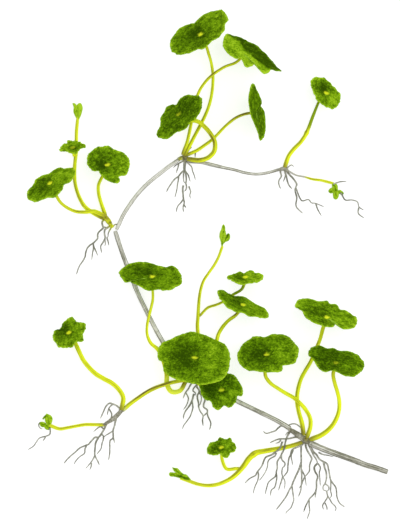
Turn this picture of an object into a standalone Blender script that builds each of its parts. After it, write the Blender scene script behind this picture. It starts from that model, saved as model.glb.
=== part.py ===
"""Whorled pennywort, picked and laid flat.

A creeping rhizome joins six rooted crowns. Petioles rise from the crowns and carry round,
lobed leaves, each fixed to its petiole near the middle. Runners and shoots end in young buds.
Lengths are in metres, angles in degrees, +Z is up and the plant lies on z = 0.
"""

import math

import bmesh
import bpy
from mathutils import Vector

# Driving dimensions
LARGEST_LEAF = 0.0363
LEAF_THICKNESS = 0.0005
LEAF_DIMPLE = 0.0011
LEAF_RUFFLE = 0.00025
GAP = 0.0003
ROOT_BASE_RADIUS = 0.00036
ROOT_TIP_RADIUS = 0.00024
ROOT_START_LIFT = 0.0006
ROOT_DROP_LENGTH = 0.004
ROOT_STAGGER = 0.000015
ROOT_BRANCH_REACH = 0.002
PETIOLE_RISE = 2.4

# Spacing of the rings along each kind of stem, and how many sides a ring has
STEM_STEP = 0.0045
RHIZOME_STEP = 0.0055
ROOT_STEP = 0.0054
STEM_SIDES = 6
RHIZOME_SIDES = 8
ROOT_SIDES = 4

# The picture that the places are read from: pixels, x to the right and y down
LARGEST_LEAF_PIXELS = 72.6
PIXEL = LARGEST_LEAF / LARGEST_LEAF_PIXELS
PICTURE_MIDDLE = (207.57, 264.76)

LEAF_GREEN = (0.093, 0.191, 0.004)
LIGHT_GREEN = (0.258, 0.451, 0.008)
STEM_YELLOW = (0.479, 0.533, 0.047)
RHIZOME_GREY = (0.392, 0.392, 0.328)
ROOT_GREY = (0.305, 0.309, 0.274)
BUD_GREEN = (0.305, 0.485, 0.021)

# Each leaf: hub, bearing of its long axis, tilt from lying flat, height of its lowest rim
# above the surface, and the lobes and notches of its rim as the picture shows them.
LEAVES = {
    "leaf_1_left": {
        "hub": (266.4, 354.7),
        "bearing": 0,
        "tilt": 51,
        "lift": 0,
        "rim": [
            (237.3, 357.5), (239, 350), (244, 342.5), (254, 337), (265.7, 336.6), (275, 333.7),
            (289, 337), (295, 344), (298.8, 350), (296, 361), (290.5, 364.6), (282.9, 365),
            (282.3, 369.5), (276, 371.6), (258, 371), (249, 370), (241, 365),
        ],
    },
    "leaf_1_middle": {
        "hub": (326.4, 317.5),
        "bearing": -20,
        "tilt": 66,
        "lift": 0,
        "rim": [
            (295, 306.5), (297, 301), (303, 298.3), (310, 298), (319, 301), (326.5, 301),
            (330, 304), (336, 304.6), (341, 309.4), (347.5, 311), (354, 315.5), (357.2, 321),
            (353.5, 327.5), (345, 329), (339.5, 327.8), (336, 323), (333.4, 326.3), (327, 326.3),
            (315, 323.5), (307, 318.6), (301, 310),
        ],
    },
    "leaf_1_right": {
        "hub": (335.4, 363),
        "bearing": -13,
        "tilt": 64,
        "lift": 0.0045,
        "rim": [
            (308, 353.5), (311, 347.5), (318.4, 345.4), (326, 348.6), (333, 347.6), (340, 350.5),
            (348, 350.8), (355, 354), (361, 358), (364.2, 366), (359, 373), (352, 376.2),
            (345, 376), (338, 373), (332, 370.8), (324, 370.8), (318.5, 367.5), (312, 359),
        ],
    },
    "leaf_2_left": {
        "hub": (152.1, 276.8),
        "bearing": -3,
        "tilt": 62,
        "lift": 0,
        "rim": [
            (119.2, 274), (121, 268.5), (128, 264.6), (138, 262.4), (147, 261.8), (156, 264.4),
            (165.5, 266.6), (171, 265.5), (177, 269), (181.5, 275), (181, 284), (172, 288.8),
            (163.5, 290.8), (159.5, 289.2), (148, 290), (140, 286.8), (132, 282.2), (125, 282.4),
        ],
    },
    "leaf_2_middle": {
        "hub": (194.7, 357.9),
        "bearing": 0,
        "tilt": 45,
        "lift": 0.0026,
        "rim": [
            (157.3, 353), (160, 345), (169, 340), (178, 335), (193, 332.2), (206, 335.8),
            (219, 341.6), (226.5, 346), (230, 355), (229, 368), (224, 377), (213, 382.8),
            (196, 384), (184, 380.8), (173, 377.4), (165, 372.4), (163, 366.5), (163.8, 362),
            (158.6, 359),
        ],
    },
    "leaf_2_low": {
        "hub": (221, 390.2),
        "bearing": -14,
        "tilt": 33,
        "lift": 0.0038,
        "rim": [
            (199.4, 384), (201.5, 394), (205.5, 399.6), (211, 401.3), (213, 406.5), (218.5, 409.6),
            (224, 405.7), (230, 407.1), (235.5, 402.3), (237.6, 396), (242, 395.4), (242.8, 389),
            (239, 381), (233, 375), (226, 373.6), (216, 374), (206, 377),
        ],
    },
    "leaf_2_right": {
        "hub": (242.6, 305),
        "bearing": -25.6,
        "tilt": 75,
        "lift": 0,
        "rim": [
            (217.1, 292.4), (221, 290.6), (227, 292), (233, 296), (243, 297.2), (249, 299.7),
            (256, 304.3), (262, 306.3), (266, 311), (268.9, 315.8), (266, 317.4), (256, 317),
            (249, 316), (243.6, 312.3), (233, 310.8), (224, 304.7),
        ],
    },
    "leaf_2_shoot": {
        "hub": (245.2, 277.3),
        "bearing": -3,
        "tilt": 70,
        "lift": 0,
        "rim": [
            (226.8, 277), (233, 274.5), (239.5, 271), (244.5, 272.9), (250.5, 270.9),
            (256, 272.6), (260.3, 273.5), (263.5, 277.6), (257, 282), (246, 284), (236, 283.4),
            (230.5, 280),
        ],
    },
    "leaf_3_left": {
        "hub": (49.8, 183.4),
        "bearing": 32,
        "tilt": 65,
        "lift": 0,
        "rim": [
            (26.8, 193.5), (28.5, 189), (33.5, 184.5), (38, 177), (48.5, 173.8), (53.5, 169.4),
            (59, 167.3), (64.5, 168.8), (70, 167.3), (75, 170), (75.3, 176), (69, 182.2),
            (63.8, 184.6), (63.2, 190), (56, 196.9), (47.5, 197.6), (36, 201.4), (28.5, 199.6),
        ],
    },
    "leaf_3_shoot": {
        "hub": (72.5, 147.8),
        "bearing": 8,
        "tilt": 62,
        "lift": 0.0022,
        "rim": [
            (59.4, 149.7), (61.5, 152), (67, 151.2), (71.5, 153.9), (76, 153.9), (79, 150.2),
            (85.5, 147), (84.8, 144.3), (78.5, 141.6), (71, 140.3), (67.2, 141), (66.5, 143.4),
            (62, 145),
        ],
    },
    "leaf_3_right": {
        "hub": (106.9, 165),
        "bearing": -6,
        "tilt": 40,
        "lift": 0.0018,
        "rim": [
            (87, 161), (88.5, 153.5), (96, 147.2), (103, 146.7), (109, 145.6), (114, 148.8),
            (124, 152.5), (129.6, 161), (129, 168), (126.5, 174.5), (119, 176.6), (119.9, 181),
            (115.5, 183.6), (107, 180), (100, 174), (98.6, 171.4), (92, 170), (87.6, 165.5),
        ],
    },
    "leaf_4_top": {
        "hub": (200.4, 34.9),
        "bearing": 33,
        "tilt": 60,
        "lift": 0,
        "rim": [
            (170.4, 47), (171.5, 39.5), (176.3, 31), (181, 27.2), (187, 23.8), (193, 23.2),
            (199, 17.3), (206, 12.8), (213.8, 10.2), (222.7, 10.4), (228.2, 18.4), (225.5, 25),
            (224, 31.8), (219, 37), (212.5, 41), (208, 45.6), (203.5, 50), (198, 49.9),
            (192, 52.8), (186, 53.6), (178.5, 54.6), (172.5, 52),
        ],
    },
    "leaf_4_folded": {
        "hub": (243.2, 54.6),
        "bearing": -29,
        "tilt": 62,
        "lift": 0,
        "rim": [
            (222.7, 41), (223.2, 46.4), (226.5, 52.3), (231, 55.6), (236.5, 58.7), (240.9, 58),
            (242.4, 62.5), (245.6, 66.6), (251, 66.8), (254.6, 64.6), (258, 70), (263.2, 73.8),
            (268.6, 73.4), (271, 70.9), (280.6, 71.6), (275, 64.5), (268.6, 57.8), (265, 52.2),
            (256, 45.3), (247, 41.3), (240, 37), (232, 36), (225, 36.2),
        ],
    },
    "leaf_4_left": {
        "hub": (178.5, 114.4),
        "bearing": 43.5,
        "tilt": 58,
        "lift": 0,
        "rim": [
            (157.2, 134.5), (158.4, 129), (160.4, 124), (161, 118), (164.5, 113), (167, 107),
            (172, 103.8), (176.4, 104.8), (180, 99.5), (185, 95.2), (193, 95), (199, 95.4),
            (202.3, 100.5), (201.5, 107), (198.6, 114.8), (195, 119), (191, 121.8), (187, 127.2),
            (182, 130.4), (176, 131.9), (172, 136), (165.5, 139), (159, 137.8),
        ],
    },
    "leaf_4_right": {
        "hub": (256.3, 112),
        "bearing": -81.3,
        "tilt": 76,
        "lift": 0,
        "rim": [
            (251.3, 84.2), (249.3, 92), (248.3, 99), (248.8, 107), (250.6, 115.5), (253.6, 122.5),
            (257.5, 132), (258.6, 137.8), (260.2, 140.6), (263.6, 137), (265.2, 129),
            (264.6, 114), (262.6, 108.4), (260, 104.6), (261.5, 101), (259, 94), (256.2, 89.8),
            (254.4, 84.4),
        ],
    },
    "leaf_5": {
        "hub": (325.8, 93),
        "bearing": -51,
        "tilt": 48,
        "lift": 0,
        "rim": [
            (310.5, 83), (312, 78.5), (315.5, 76.8), (319, 77.8), (324, 77), (327.6, 80),
            (331, 83.4), (335.5, 88), (338.5, 91), (341, 95.5), (339, 103.5), (336, 107.3),
            (332, 108.7), (326, 106.6), (321, 103), (315.8, 98.6), (313.6, 92),
        ],
    },
    "leaf_6": {
        "hub": (68.6, 332.8),
        "bearing": 25,
        "tilt": 37,
        "lift": 0,
        "rim": [
            (52.7, 338.5), (54.4, 331.4), (60.4, 327.9), (63.5, 321.4), (71.8, 317.3),
            (77.2, 321.9), (84.9, 323), (85.7, 329), (83, 334), (83.2, 340.7), (75.8, 342.6),
            (72.6, 346.6), (64, 347.6), (57.7, 346.8), (56, 343),
        ],
    },
    "leaf_runner": {
        "hub": (221.2, 447.7),
        "bearing": 10,
        "tilt": 49,
        "lift": 0,
        "rim": [
            (206.8, 451.3), (209.5, 454.8), (216.5, 455.4), (220, 453.7), (224, 457.7),
            (228, 457.8), (230.6, 453), (235, 450.6), (236, 445.8), (232.6, 442.2),
            (230.4, 437.4), (225.4, 439.5), (219.6, 438.2), (216, 441.5), (211.4, 442.4),
            (208.4, 446),
        ],
    },
}

# Each petiole: its route from the crown to the leaf, its radii from crown to leaf, its height
# above the surface at the crown, how late it rises, and where it passes over something.
PETIOLES = {
    "petiole_1_left": {
        "route": [
            (307.6, 435.6), (310.6, 426.5), (310.4, 418.6), (306.8, 411.2), (301.4, 404.3),
            (294.3, 398), (285, 392.6), (276.2, 387), (268.6, 381.2), (265.3, 375), (264.6, 369),
        ],
        "radii": (0.001, 0.0009, 0.0008),
        "start_lift": 0.0004,
        "over": [((298, 401.5), 0.0026)],
    },
    "petiole_1_middle": {
        "route": [
            (303.4, 432), (301.8, 421.6), (298.8, 411.5), (297.3, 402), (297.5, 393.4),
            (299.4, 384.4), (302.6, 375.4), (307.2, 368), (312.2, 358.8), (317.4, 346),
            (321.4, 335), (323.6, 326),
        ],
        "radii": (0.00105, 0.0009, 0.0009),
        "start_lift": 0.0002,
        "rise": 6,
        "over": [],
    },
    "petiole_1_right": {
        "route": [
            (313, 438.6), (320.5, 435.6), (328.6, 429.8), (335, 421.6), (339, 411),
            (339.2, 399.6), (336.6, 388.6), (333.8, 379.5), (333.2, 371),
        ],
        "radii": (0.0012, 0.00095, 0.00085),
        "start_lift": 0.0006,
        "over": [],
    },
    "petiole_2_left": {
        "route": [
            (184.8, 383), (183, 387.6), (179.4, 391), (174.6, 392.6), (169.8, 390.2),
            (167, 384.4), (166.8, 375), (163.6, 361), (158, 349.6), (151.4, 343.8), (147.6, 336.6),
            (147, 326), (149.4, 314), (152.2, 302.6), (153.4, 291),
        ],
        "radii": (0.0011, 0.0013, 0.00115, 0.00075, 0.00075, 0.00065),
        "start_lift": 0.0004,
        "over": [((150, 312), 0.0025)],
    },
    "petiole_2_middle": {
        "route": [(196.2, 373), (197.6, 367.5)],
        "radii": (0.0009, 0.0007),
        "start_lift": 0.0034,
        "over": [],
    },
    "petiole_2_low": {
        "route": [(199.8, 384.6), (206, 389.6), (213, 392.6)],
        "radii": (0.0008, 0.0006),
        "start_lift": 0.0020,
        "over": [],
    },
    "petiole_2_right": {
        "route": [
            (203.4, 373), (210.8, 362), (215, 350), (217, 339.2), (219.4, 332), (224.2, 324.8),
            (230.2, 318.6), (236.2, 312.6),
        ],
        "radii": (0.00085, 0.0009, 0.00075),
        "start_lift": 0.0002,
        "over": [],
    },
    "petiole_2_shoot": {
        "route": [
            (201.3, 314), (203.8, 311), (208, 307.4), (215.2, 305), (222, 302.4),
            (228.4, 298), (234, 293.6), (240.2, 288.4), (243.4, 283.6),
        ],
        "radii": (0.0006, 0.0006, 0.0007),
        "start_lift": 0,
        "over": [],
    },
    "petiole_3_left": {
        "route": [
            (102.4, 214.4), (98, 211.6), (91.6, 211), (84.5, 211.8), (77, 211.4), (70, 209),
            (63.6, 204.8), (57.4, 198.4),
        ],
        "radii": (0.001, 0.00075, 0.0007),
        "start_lift": 0.0022,
        "over": [((90.5, 211), 0.0022)],
    },
    "petiole_3_shoot": {
        "route": [(74.2, 154.6), (73, 152.2)],
        "radii": (0.00055, 0.0005),
        "start_lift": 0.0018,
        "over": [],
    },
    "petiole_3_right": {
        "route": [
            (104.4, 212.4), (102, 205.6), (99.6, 198), (98.2, 189.6), (99, 181.4), (101.8, 174.4),
        ],
        "radii": (0.001, 0.00085, 0.0008),
        "start_lift": 0.0002,
        "over": [],
    },
    "petiole_4_top": {
        "route": [
            (185.2, 153.6), (190, 144.6), (196.2, 132.6), (202.2, 121.2), (206.8, 111.4),
            (210.2, 101.2), (212.2, 90.6), (213, 80), (212.4, 69), (210, 57.6), (206, 46.6),
        ],
        "radii": (0.0009, 0.0007, 0.0007),
        "start_lift": 0.0002,
        "rise": 3.6,
        "over": [],
    },
    "petiole_4_folded": {
        "route": [
            (183.6, 151.2), (187, 142), (189.6, 131), (191.6, 120.6), (194, 108), (197.6, 94.6),
            (202.4, 85.6), (208.6, 78), (216.8, 71.4), (226, 66), (234.4, 61),
        ],
        "radii": (0.0008, 0.0007, 0.00065),
        "start_lift": 0.0022,
        "rise": 1.7,
        "over": [((213, 74.6), 0.0074)],
    },
    "petiole_4_left": {
        "route": [
            (190.4, 159), (200, 159.8), (207.6, 157.6), (213.2, 152.6), (215.4, 146),
            (213.6, 138.4), (208.4, 130.6), (201.4, 123.6), (193.4, 118.8), (187, 117),
        ],
        "radii": (0.00115, 0.0011, 0.001),
        "start_lift": 0.0016,
        "over": [((200.4, 159.8), 0.0016), ((214, 138), 0.0039), ((201, 123.4), 0.0031)],
    },
    "petiole_4_right": {
        "route": [
            (189.2, 153.6), (195.6, 150.8), (203, 146), (210, 141), (216.6, 135), (223.4, 127.8),
            (230, 121.8), (236.8, 117), (243.4, 114.4), (250, 113.6),
        ],
        "radii": (0.0008, 0.00068, 0.00068),
        "start_lift": 0.0004,
        "over": [],
    },
    "petiole_5": {
        "route": [
            (285.8, 164), (288.6, 156), (294.4, 148.2), (301.6, 140.8), (306.8, 132.4),
            (310.6, 122.6), (314.6, 111.6), (319.6, 102.4),
        ],
        "radii": (0.00115, 0.001, 0.0006),
        "start_lift": 0.0002,
        "over": [],
    },
    "petiole_6": {
        "route": [
            (122, 406.6), (123.6, 400), (121, 392.6), (115, 385.4), (107, 380.2), (98.4, 375.8),
            (89.6, 368), (82.4, 358.6), (78, 349), (75.4, 341.6),
        ],
        "radii": (0.00105, 0.0011, 0.00095),
        "start_lift": 0.0008,
        "over": [],
    },
    "petiole_runner": {
        "route": [
            (236, 468.6), (232.4, 470), (227.6, 469.4), (223.6, 466), (221.6, 460.6),
            (221.2, 455),
        ],
        "radii": (0.0008, 0.0008, 0.00075),
        "start_lift": 0.0002,
        "over": [],
    },
}

# The lengths of rhizome between the crowns, from the cut end to the youngest crown
RHIZOMES = {
    "rhizome_1_cut_end": {
        "route": [
            (387.9, 472), (381.5, 469.4), (366.8, 465.2), (351.6, 459.2), (336.5, 453.8),
            (322, 448.4), (311.6, 443.8),
        ],
        "radii": (0.00115, 0.00135, 0.00142),
        "over": [],
    },
    "rhizome_2": {
        "route": [
            (288.2, 427.2), (276.8, 420.4), (261.8, 413), (243.7, 404.3), (225.8, 395.6),
            (210, 388), (201.6, 382),
        ],
        "radii": (0.0011, 0.0010),
        "over": [],
    },
    "rhizome_3": {
        "route": [
            (188.4, 374.6), (177.8, 362.2), (168, 349.8), (160.2, 337.4), (152.2, 322.4),
            (144.6, 307.4), (137.4, 292.3), (130, 273.2), (123, 255.2), (118, 240.2),
            (116.2, 234.4),
        ],
        "radii": (0.00105, 0.0010),
        "over": [],
    },
    "rhizome_4": {
        "route": [
            (118.6, 224.6), (122.7, 215.6), (128.8, 205.7), (136.7, 194.8), (146.7, 184),
            (157.6, 175), (168.4, 166.5), (177.4, 160.2),
        ],
        "radii": (0.00085, 0.0009),
        "over": [],
    },
    "rhizome_5": {
        "route": [
            (190.6, 161.6), (203, 162.4), (211, 164.2), (221, 166.6), (236, 169.8),
            (250, 173.4), (262, 173.4), (272, 171.2), (278.2, 169.4),
        ],
        "radii": (0.00055, 0.0006),
        "over": [],
    },
}

# Runners lie on the surface and shoots stand off their crown: all end in a bud or at a crown
RUNNERS = {
    "runner_1": {
        "route": [
            (299.4, 443.2), (288.6, 446.6), (271.2, 450), (258.6, 452.2), (252, 455.2),
            (247, 461.6), (240.6, 470), (232, 477.8), (222.4, 482.8), (212.6, 485.4),
            (202.6, 485.2), (194, 483), (189.6, 481.4),
        ],
        "radii": (0.00095, 0.0011, 0.00135, 0.0011, 0.00085, 0.0008),
        "over": [],
    },
    "runner_5_tip": {
        "route": [
            (288.7, 170.5), (293, 173), (299, 175.8), (307, 176.8), (313, 178.9), (320, 179.8),
            (326.4, 180.6), (329.6, 182),
        ],
        "radii": (0.0004, 0.0004, 0.0006, 0.00065),
        "over": [],
    },
    "runner_6": {
        "route": [
            (188.6, 379.6), (182, 380.4), (174, 381.8), (165.4, 384.2), (156, 387.4), (146, 392.6),
            (136, 399.4), (129, 404.6), (123.6, 409.4),
        ],
        "radii": (0.00085, 0.00085, 0.00085, 0.0009),
        "over": [((167.6, 383.7), 0.0051), ((184, 380.8), 0.0032)],
    },
    "runner_6_tip": {
        "route": [
            (102.4, 424.8), (94, 424.6), (85, 424.6), (73, 426.6), (61, 428.8), (54.4, 427.8),
            (51.4, 426),
        ],
        "radii": (0.00075, 0.00072, 0.0008),
        "over": [],
    },
    "shoot_2": {
        "route": [
            (193.6, 370.8), (193, 360), (195, 345), (198, 333), (197.4, 325), (198.2, 313.4),
            (199, 300.4), (200.6, 289.8), (203.8, 280.2), (208.6, 273), (214.8, 264),
            (219.2, 255.4), (221.6, 248.4),
        ],
        "radii": (0.0009, 0.0008, 0.00062, 0.0006),
        "over": [],
    },
    "shoot_3": {
        "route": [
            (99.6, 216), (94.6, 213), (88.6, 210), (83.4, 204.6), (79.2, 197), (76.4, 189),
            (74.6, 180), (74.4, 169), (75.2, 158.4), (76.4, 149), (76.2, 139), (76.4, 130),
            (77.2, 121.4),
        ],
        "radii": (0.0011, 0.0009, 0.0009, 0.0008),
        "over": [],
    },
}

# Each crown: the short thick length of stem, and the main roots that grow from it
CROWNS = {
    "crown_1": {
        "stem": [(291, 430), (300, 436), (309.6, 442.5)],
        "radii": (0.0012, 0.0015),
        "roots": [
            [(294, 432.4), (290, 433.6), (286.4, 439), (284.6, 446.5), (281.6, 455.4),
             (277.4, 462), (276.6, 472), (276, 483), (271.8, 490), (270, 496.4)],
            [(281.6, 455.4), (285, 463.4), (282.2, 474), (285, 482), (284.6, 489.4)],
            [(301, 437.4), (294, 437.6), (284.7, 439), (277, 439.6), (269.6, 443.2)],
            [(284.7, 439), (282.6, 442.4), (280, 448), (275.8, 452), (267, 456.8),
             (261.6, 466), (256, 475.4), (250, 478.4), (244.4, 483.6)],
            [(257.4, 473), (258.4, 477), (255.4, 486), (253.2, 494)],
            [(275.8, 452), (275, 456), (268, 461.4), (266.8, 469), (262.4, 477), (258.4, 481)],
            [(276, 477), (269.8, 481), (267, 488), (265.6, 494.8)],
            [(305, 440), (303.8, 446), (298, 448.6), (292.2, 451.4), (288.6, 460),
             (287.6, 470.8), (283.4, 477)],
            [(305, 440), (302.6, 450), (301.4, 463), (301.8, 478), (300.8, 491), (298.4, 497)],
            [(301.4, 460), (299.2, 469), (293.8, 481), (289, 490), (283, 501), (276.2, 510)],
            [(292.2, 484.5), (292.8, 492), (293.8, 500), (291, 508), (286.6, 512), (285.8, 514.6)],
            [(306, 440.6), (307, 450.4), (311.8, 459), (309.6, 468), (305, 476.4)],
            [(301.8, 468), (305, 476.4), (306.6, 486.4)],
            [(306.6, 441), (308.4, 447.4), (312, 455), (318.2, 463.6), (314.4, 468), (317.4, 477),
             (316.6, 488), (311, 498), (306, 506), (303.8, 512.4)],
            [(318.2, 463.6), (320.8, 468), (319.5, 474), (320.4, 486.4)],
            [(309.6, 500), (309.6, 511), (307.2, 519.6)],
            [(307, 441.2), (309, 447), (314, 453.6), (321, 460.4), (327.6, 464.4), (330, 476), (332.6, 482.4),
             (336.4, 488.4), (337, 497), (340, 503.4), (345, 507.4)],
            [(322.6, 461), (325.2, 468), (326.8, 478.6), (323.4, 487), (327, 491.6),
             (330, 499.4), (335.4, 506.4), (334.8, 511.6)],
            [(328, 495), (322.8, 505.4), (323.8, 510)],
        ],
        "over": [((284.6, 446.5), 0.0026), ((280, 447.6), 0.0027), ((276, 450.6), 0.0027)],
    },
    "crown_2": {
        "stem": [(190.8, 376.6), (195, 378.6), (198.8, 380.6)],
        "radii": (0.0014, 0.0014),
        "roots": [
            [(194, 379), (190.6, 385), (186.4, 393), (183, 399)],
            [(186.4, 393), (188.8, 399), (186.4, 405), (183, 410)],
            [(195, 379.6), (194.6, 388), (193.6, 395), (191, 403.4), (186, 410.6), (183.4, 419)],
            [(191.6, 401.4), (192.6, 409), (190.4, 416.6), (184.2, 424.8), (182, 429.6)],
            [(196, 380), (197.4, 390), (197.6, 399), (198.8, 408), (202.6, 415.6), (202, 421.6)],
            [(197.4, 390), (201.4, 398), (199, 406)],
            [(198, 380), (201, 389), (204.8, 400.4), (204, 407), (207.4, 411), (209, 419),
             (210.8, 424), (209, 430.2)],
            [(207.4, 411.6), (202.8, 416.8)],
        ],
        "over": [],
    },
    "crown_3": {
        "stem": [(106, 217.8), (110.6, 223.4), (115.2, 230.4)],
        "radii": (0.0013, 0.0014),
        "roots": [
            [(107.4, 220), (102.6, 223), (104, 227), (99, 231.8), (97.2, 237), (93, 243),
             (87, 248.4), (84.6, 257), (80, 265), (76.2, 274.4)],
            [(93, 243), (93, 250), (91.4, 260)],
            [(93.4, 245.6), (97.8, 255.8)],
            [(112, 226.6), (108, 230.4), (104.6, 233), (104.2, 238), (101, 245.4), (101.4, 253)],
            [(107.2, 231), (107.2, 238), (109, 246)],
        ],
        "over": [],
    },
    "crown_4": {
        "stem": [(180.6, 157.6), (184, 157.4), (187.4, 158.2)],
        "radii": (0.0014, 0.0014),
        "roots": [
            [(184, 158), (184, 170), (178.6, 176), (172.6, 181), (169, 186), (166.6, 191.6)],
            [(178.6, 176), (177.6, 184), (174.6, 197)],
            [(184, 170), (186, 177), (186, 184), (186.4, 188), (183, 191), (183.4, 200),
             (184.6, 204.6), (186.4, 208)],
            [(184.8, 173), (188.6, 175), (190.4, 181.8)],
            [(186, 158.8), (191.6, 166.6), (195.4, 180)],
            [(183.4, 199), (180.4, 203), (177, 208), (176.4, 212)],
        ],
        "over": [],
    },
    "crown_5": {
        "stem": [(281, 168.6), (283.6, 168.4), (285.8, 169)],
        "radii": (0.0011, 0.0012),
        "roots": [
            [(282.4, 168.8), (280.8, 175.6), (279, 181), (280.8, 188.8)],
            [(284, 169), (284.4, 178), (289, 184.4), (292.4, 188.8)],
            [(285.4, 169.4), (289, 176), (294.6, 180.6), (297, 185), (296.2, 196), (297, 206),
             (303, 213.2)],
            [(296.6, 189), (301.6, 200.6), (308.6, 199.2), (316, 203), (324.6, 206.8)],
            [(316, 203), (318, 209), (322, 216)],
        ],
        "over": [],
    },
    "crown_6": {
        "stem": [(120.4, 411.6), (114, 418), (106.4, 423.4)],
        "radii": (0.0014, 0.0010),
        "roots": [
            [(118.6, 413), (116.4, 406), (109.6, 403.2), (105.2, 407.6), (100.2, 418.6)],
            [(112, 404), (108.8, 408.6), (111.4, 414), (110, 420)],
            [(107, 423), (102, 432), (98.4, 437.2), (91.6, 440.6), (86, 445.2), (79, 448.6),
             (71, 455.4), (63.8, 463.8)],
            [(86, 445.2), (84.4, 453), (78, 458.6), (73.8, 464.6)],
            [(98.4, 437.2), (95.4, 447), (94.6, 455), (90, 463), (85.2, 468.8)],
            [(94.6, 456), (99.2, 465.4)],
            [(101, 433.8), (103.4, 438), (101.2, 448), (95.4, 456)],
            [(115, 417.4), (113.4, 430), (112.8, 438), (109.8, 442), (108.8, 460.4)],
        ],
        "over": [],
    },
}

# Each bud: its young folded lobes as centre, length, width, height and bearing, in pixels
BUDS = {
    "bud_2": [
        ((222.8, 235), 22, 6.6, 5, 87),
        ((226.4, 238.2), 12.4, 6, 4.4, 58),
    ],
    "bud_3": [
        ((75.6, 110.6), 16.4, 5.6, 4.6, 106),
        ((79.8, 110.2), 16.4, 6, 5, 76),
    ],
    "bud_5": [
        ((335, 187), 11.6, 6.4, 5, -66),
        ((335.8, 193.6), 11.8, 6.6, 4.8, -84),
        ((332.2, 190.2), 8.4, 5.8, 4.6, 20),
        ((340.2, 191.6), 8.4, 3.8, 4, -28),
    ],
    "bud_6": [
        ((48.2, 419.2), 11, 7.8, 5.6, 80),
        ((42.8, 424), 7, 5, 4.6, 10),
        ((46.8, 426.2), 6.4, 6, 5, 60),
    ],
    "bud_runner": [
        ((183, 476.4), 14, 6.4, 5.4, -20),
        ((176.8, 471.2), 13, 5.4, 4.8, -42),
        ((174.2, 474.4), 11, 5, 4.4, -3),
    ],
}
BUD_SEGMENTS = 7
BUD_RINGS = 5

# Roots that grow from a bud's foot, each joined to its bud
BUD_ROOTS = {
    "bud_5": [
        [(337, 191), (342, 194.4), (345.6, 199.6), (352, 199.6), (357.6, 201.8), (359.2, 206.6),
         (364.4, 210.2)],
        [(359.2, 206.6), (359.6, 213.4), (364.8, 218)],
    ],
    "bud_6": [
        [(47.6, 426), (49.6, 434.4), (40, 437.8), (34, 445.4), (27.2, 449.8)],
    ],
}


def clear_scene():
    for scene_object in list(bpy.data.objects):
        bpy.data.objects.remove(scene_object, do_unlink=True)


def material(name, colour, roughness):
    """A Principled material with this base colour and roughness."""
    made = bpy.data.materials.new(name)
    made.use_nodes = True
    shader = made.node_tree.nodes["Principled BSDF"]
    shader.inputs["Base Color"].default_value = (*colour, 1.0)
    shader.inputs["Roughness"].default_value = roughness
    shader.inputs["Metallic"].default_value = 0.0
    return made


def add_object(name, shape, finish, is_helper=False):
    """Turn a bmesh into a named object, smooth but for its sharp edges."""
    mesh = bpy.data.meshes.new(name)
    bmesh.ops.recalc_face_normals(shape, faces=shape.faces)
    shape.to_mesh(mesh)
    shape.free()
    mesh.shade_smooth()
    mesh.set_sharp_from_angle(angle=math.radians(40))
    mesh.materials.append(finish)
    made = bpy.data.objects.new(name, mesh)
    bpy.context.collection.objects.link(made)
    if is_helper:
        made.hide_render = True
        made.display_type = "WIRE"
    return made


def on_surface(place, height=0.0):
    """The point over this place of the picture, at this height."""
    x = (place[0] - PICTURE_MIDDLE[0]) * PIXEL
    y = (PICTURE_MIDDLE[1] - place[1]) * PIXEL
    return Vector((x, y, height))


def curve_through(points, step):
    """Evenly spaced points, about a step apart, on a smooth curve through the given ones."""
    ends = [2 * points[0] - points[1], *points, 2 * points[-1] - points[-2]]
    fine = []
    for before, start, end, after in zip(ends, ends[1:], ends[2:], ends[3:]):
        for part in range(12):
            t = part / 12
            fine.append(
                0.5
                * (
                    2 * start
                    + (end - before) * t
                    + (2 * before - 5 * start + 4 * end - after) * t**2
                    + (3 * start - before - 3 * end + after) * t**3
                )
            )
    fine.append(points[-1].copy())
    along = [0.0]
    for start, end in zip(fine, fine[1:]):
        along.append(along[-1] + (end - start).length)
    count = max(2, round(along[-1] / step))
    spaced = []
    place = 0
    for number in range(count + 1):
        wanted = along[-1] * number / count
        while place < len(along) - 2 and along[place + 1] < wanted:
            place += 1
        share = (wanted - along[place]) / max(along[place + 1] - along[place], 1e-9)
        spaced.append(fine[place].lerp(fine[place + 1], min(share, 1.0)))
    return spaced


def raised_over(points, crossings, reach=0.0055):
    """Lift the points near each crossing to at least its height, easing off on both sides."""
    for place, lift in crossings:
        middle = on_surface(place)
        for point in points:
            away = (point.xy - middle.xy).length
            if away < reach:
                ease = 0.5 + 0.5 * math.cos(math.pi * away / reach)
                point.z += max(0.0, lift - point.z) * ease


def radius_at(radii, share):
    """The radius at this share of a stem's length, from values spread evenly along it."""
    place = share * (len(radii) - 1)
    before = min(int(place), len(radii) - 2)
    return radii[before] + (radii[before + 1] - radii[before]) * (place - before)


def tube(centres, radii, sides):
    """A closed tube of this many sides along the centres, its radius following the given ones."""
    shape = bmesh.new()
    rings = []
    across = None
    for number, centre in enumerate(centres):
        before = centres[max(number - 1, 0)]
        after = centres[min(number + 1, len(centres) - 1)]
        ahead = (after - before).normalized()
        level = ahead.cross(Vector((0, 0, 1)))
        if level.length > 0.25 or across is None:
            across = level.normalized()
        else:
            across = (across - ahead * across.dot(ahead)).normalized()
        up = across.cross(ahead)
        radius = radius_at(radii, number / (len(centres) - 1))
        ring = []
        for side in range(sides):
            angle = 2 * math.pi * (side + 0.5) / sides + math.pi / 2
            offset = across * math.cos(angle) + up * math.sin(angle)
            ring.append(shape.verts.new(centre + offset * radius))
        rings.append(ring)
    for ring, following in zip(rings, rings[1:]):
        for side in range(sides):
            beside = (side + 1) % sides
            shape.faces.new((ring[side], ring[beside], following[beside], following[side]))
    shape.faces.new(rings[0])
    shape.faces.new(rings[-1])
    return shape


def rest_height(radius, sides):
    """How high the middle of a tube is when one of its flat sides lies on the surface."""
    return radius * math.cos(math.pi / sides)


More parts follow.
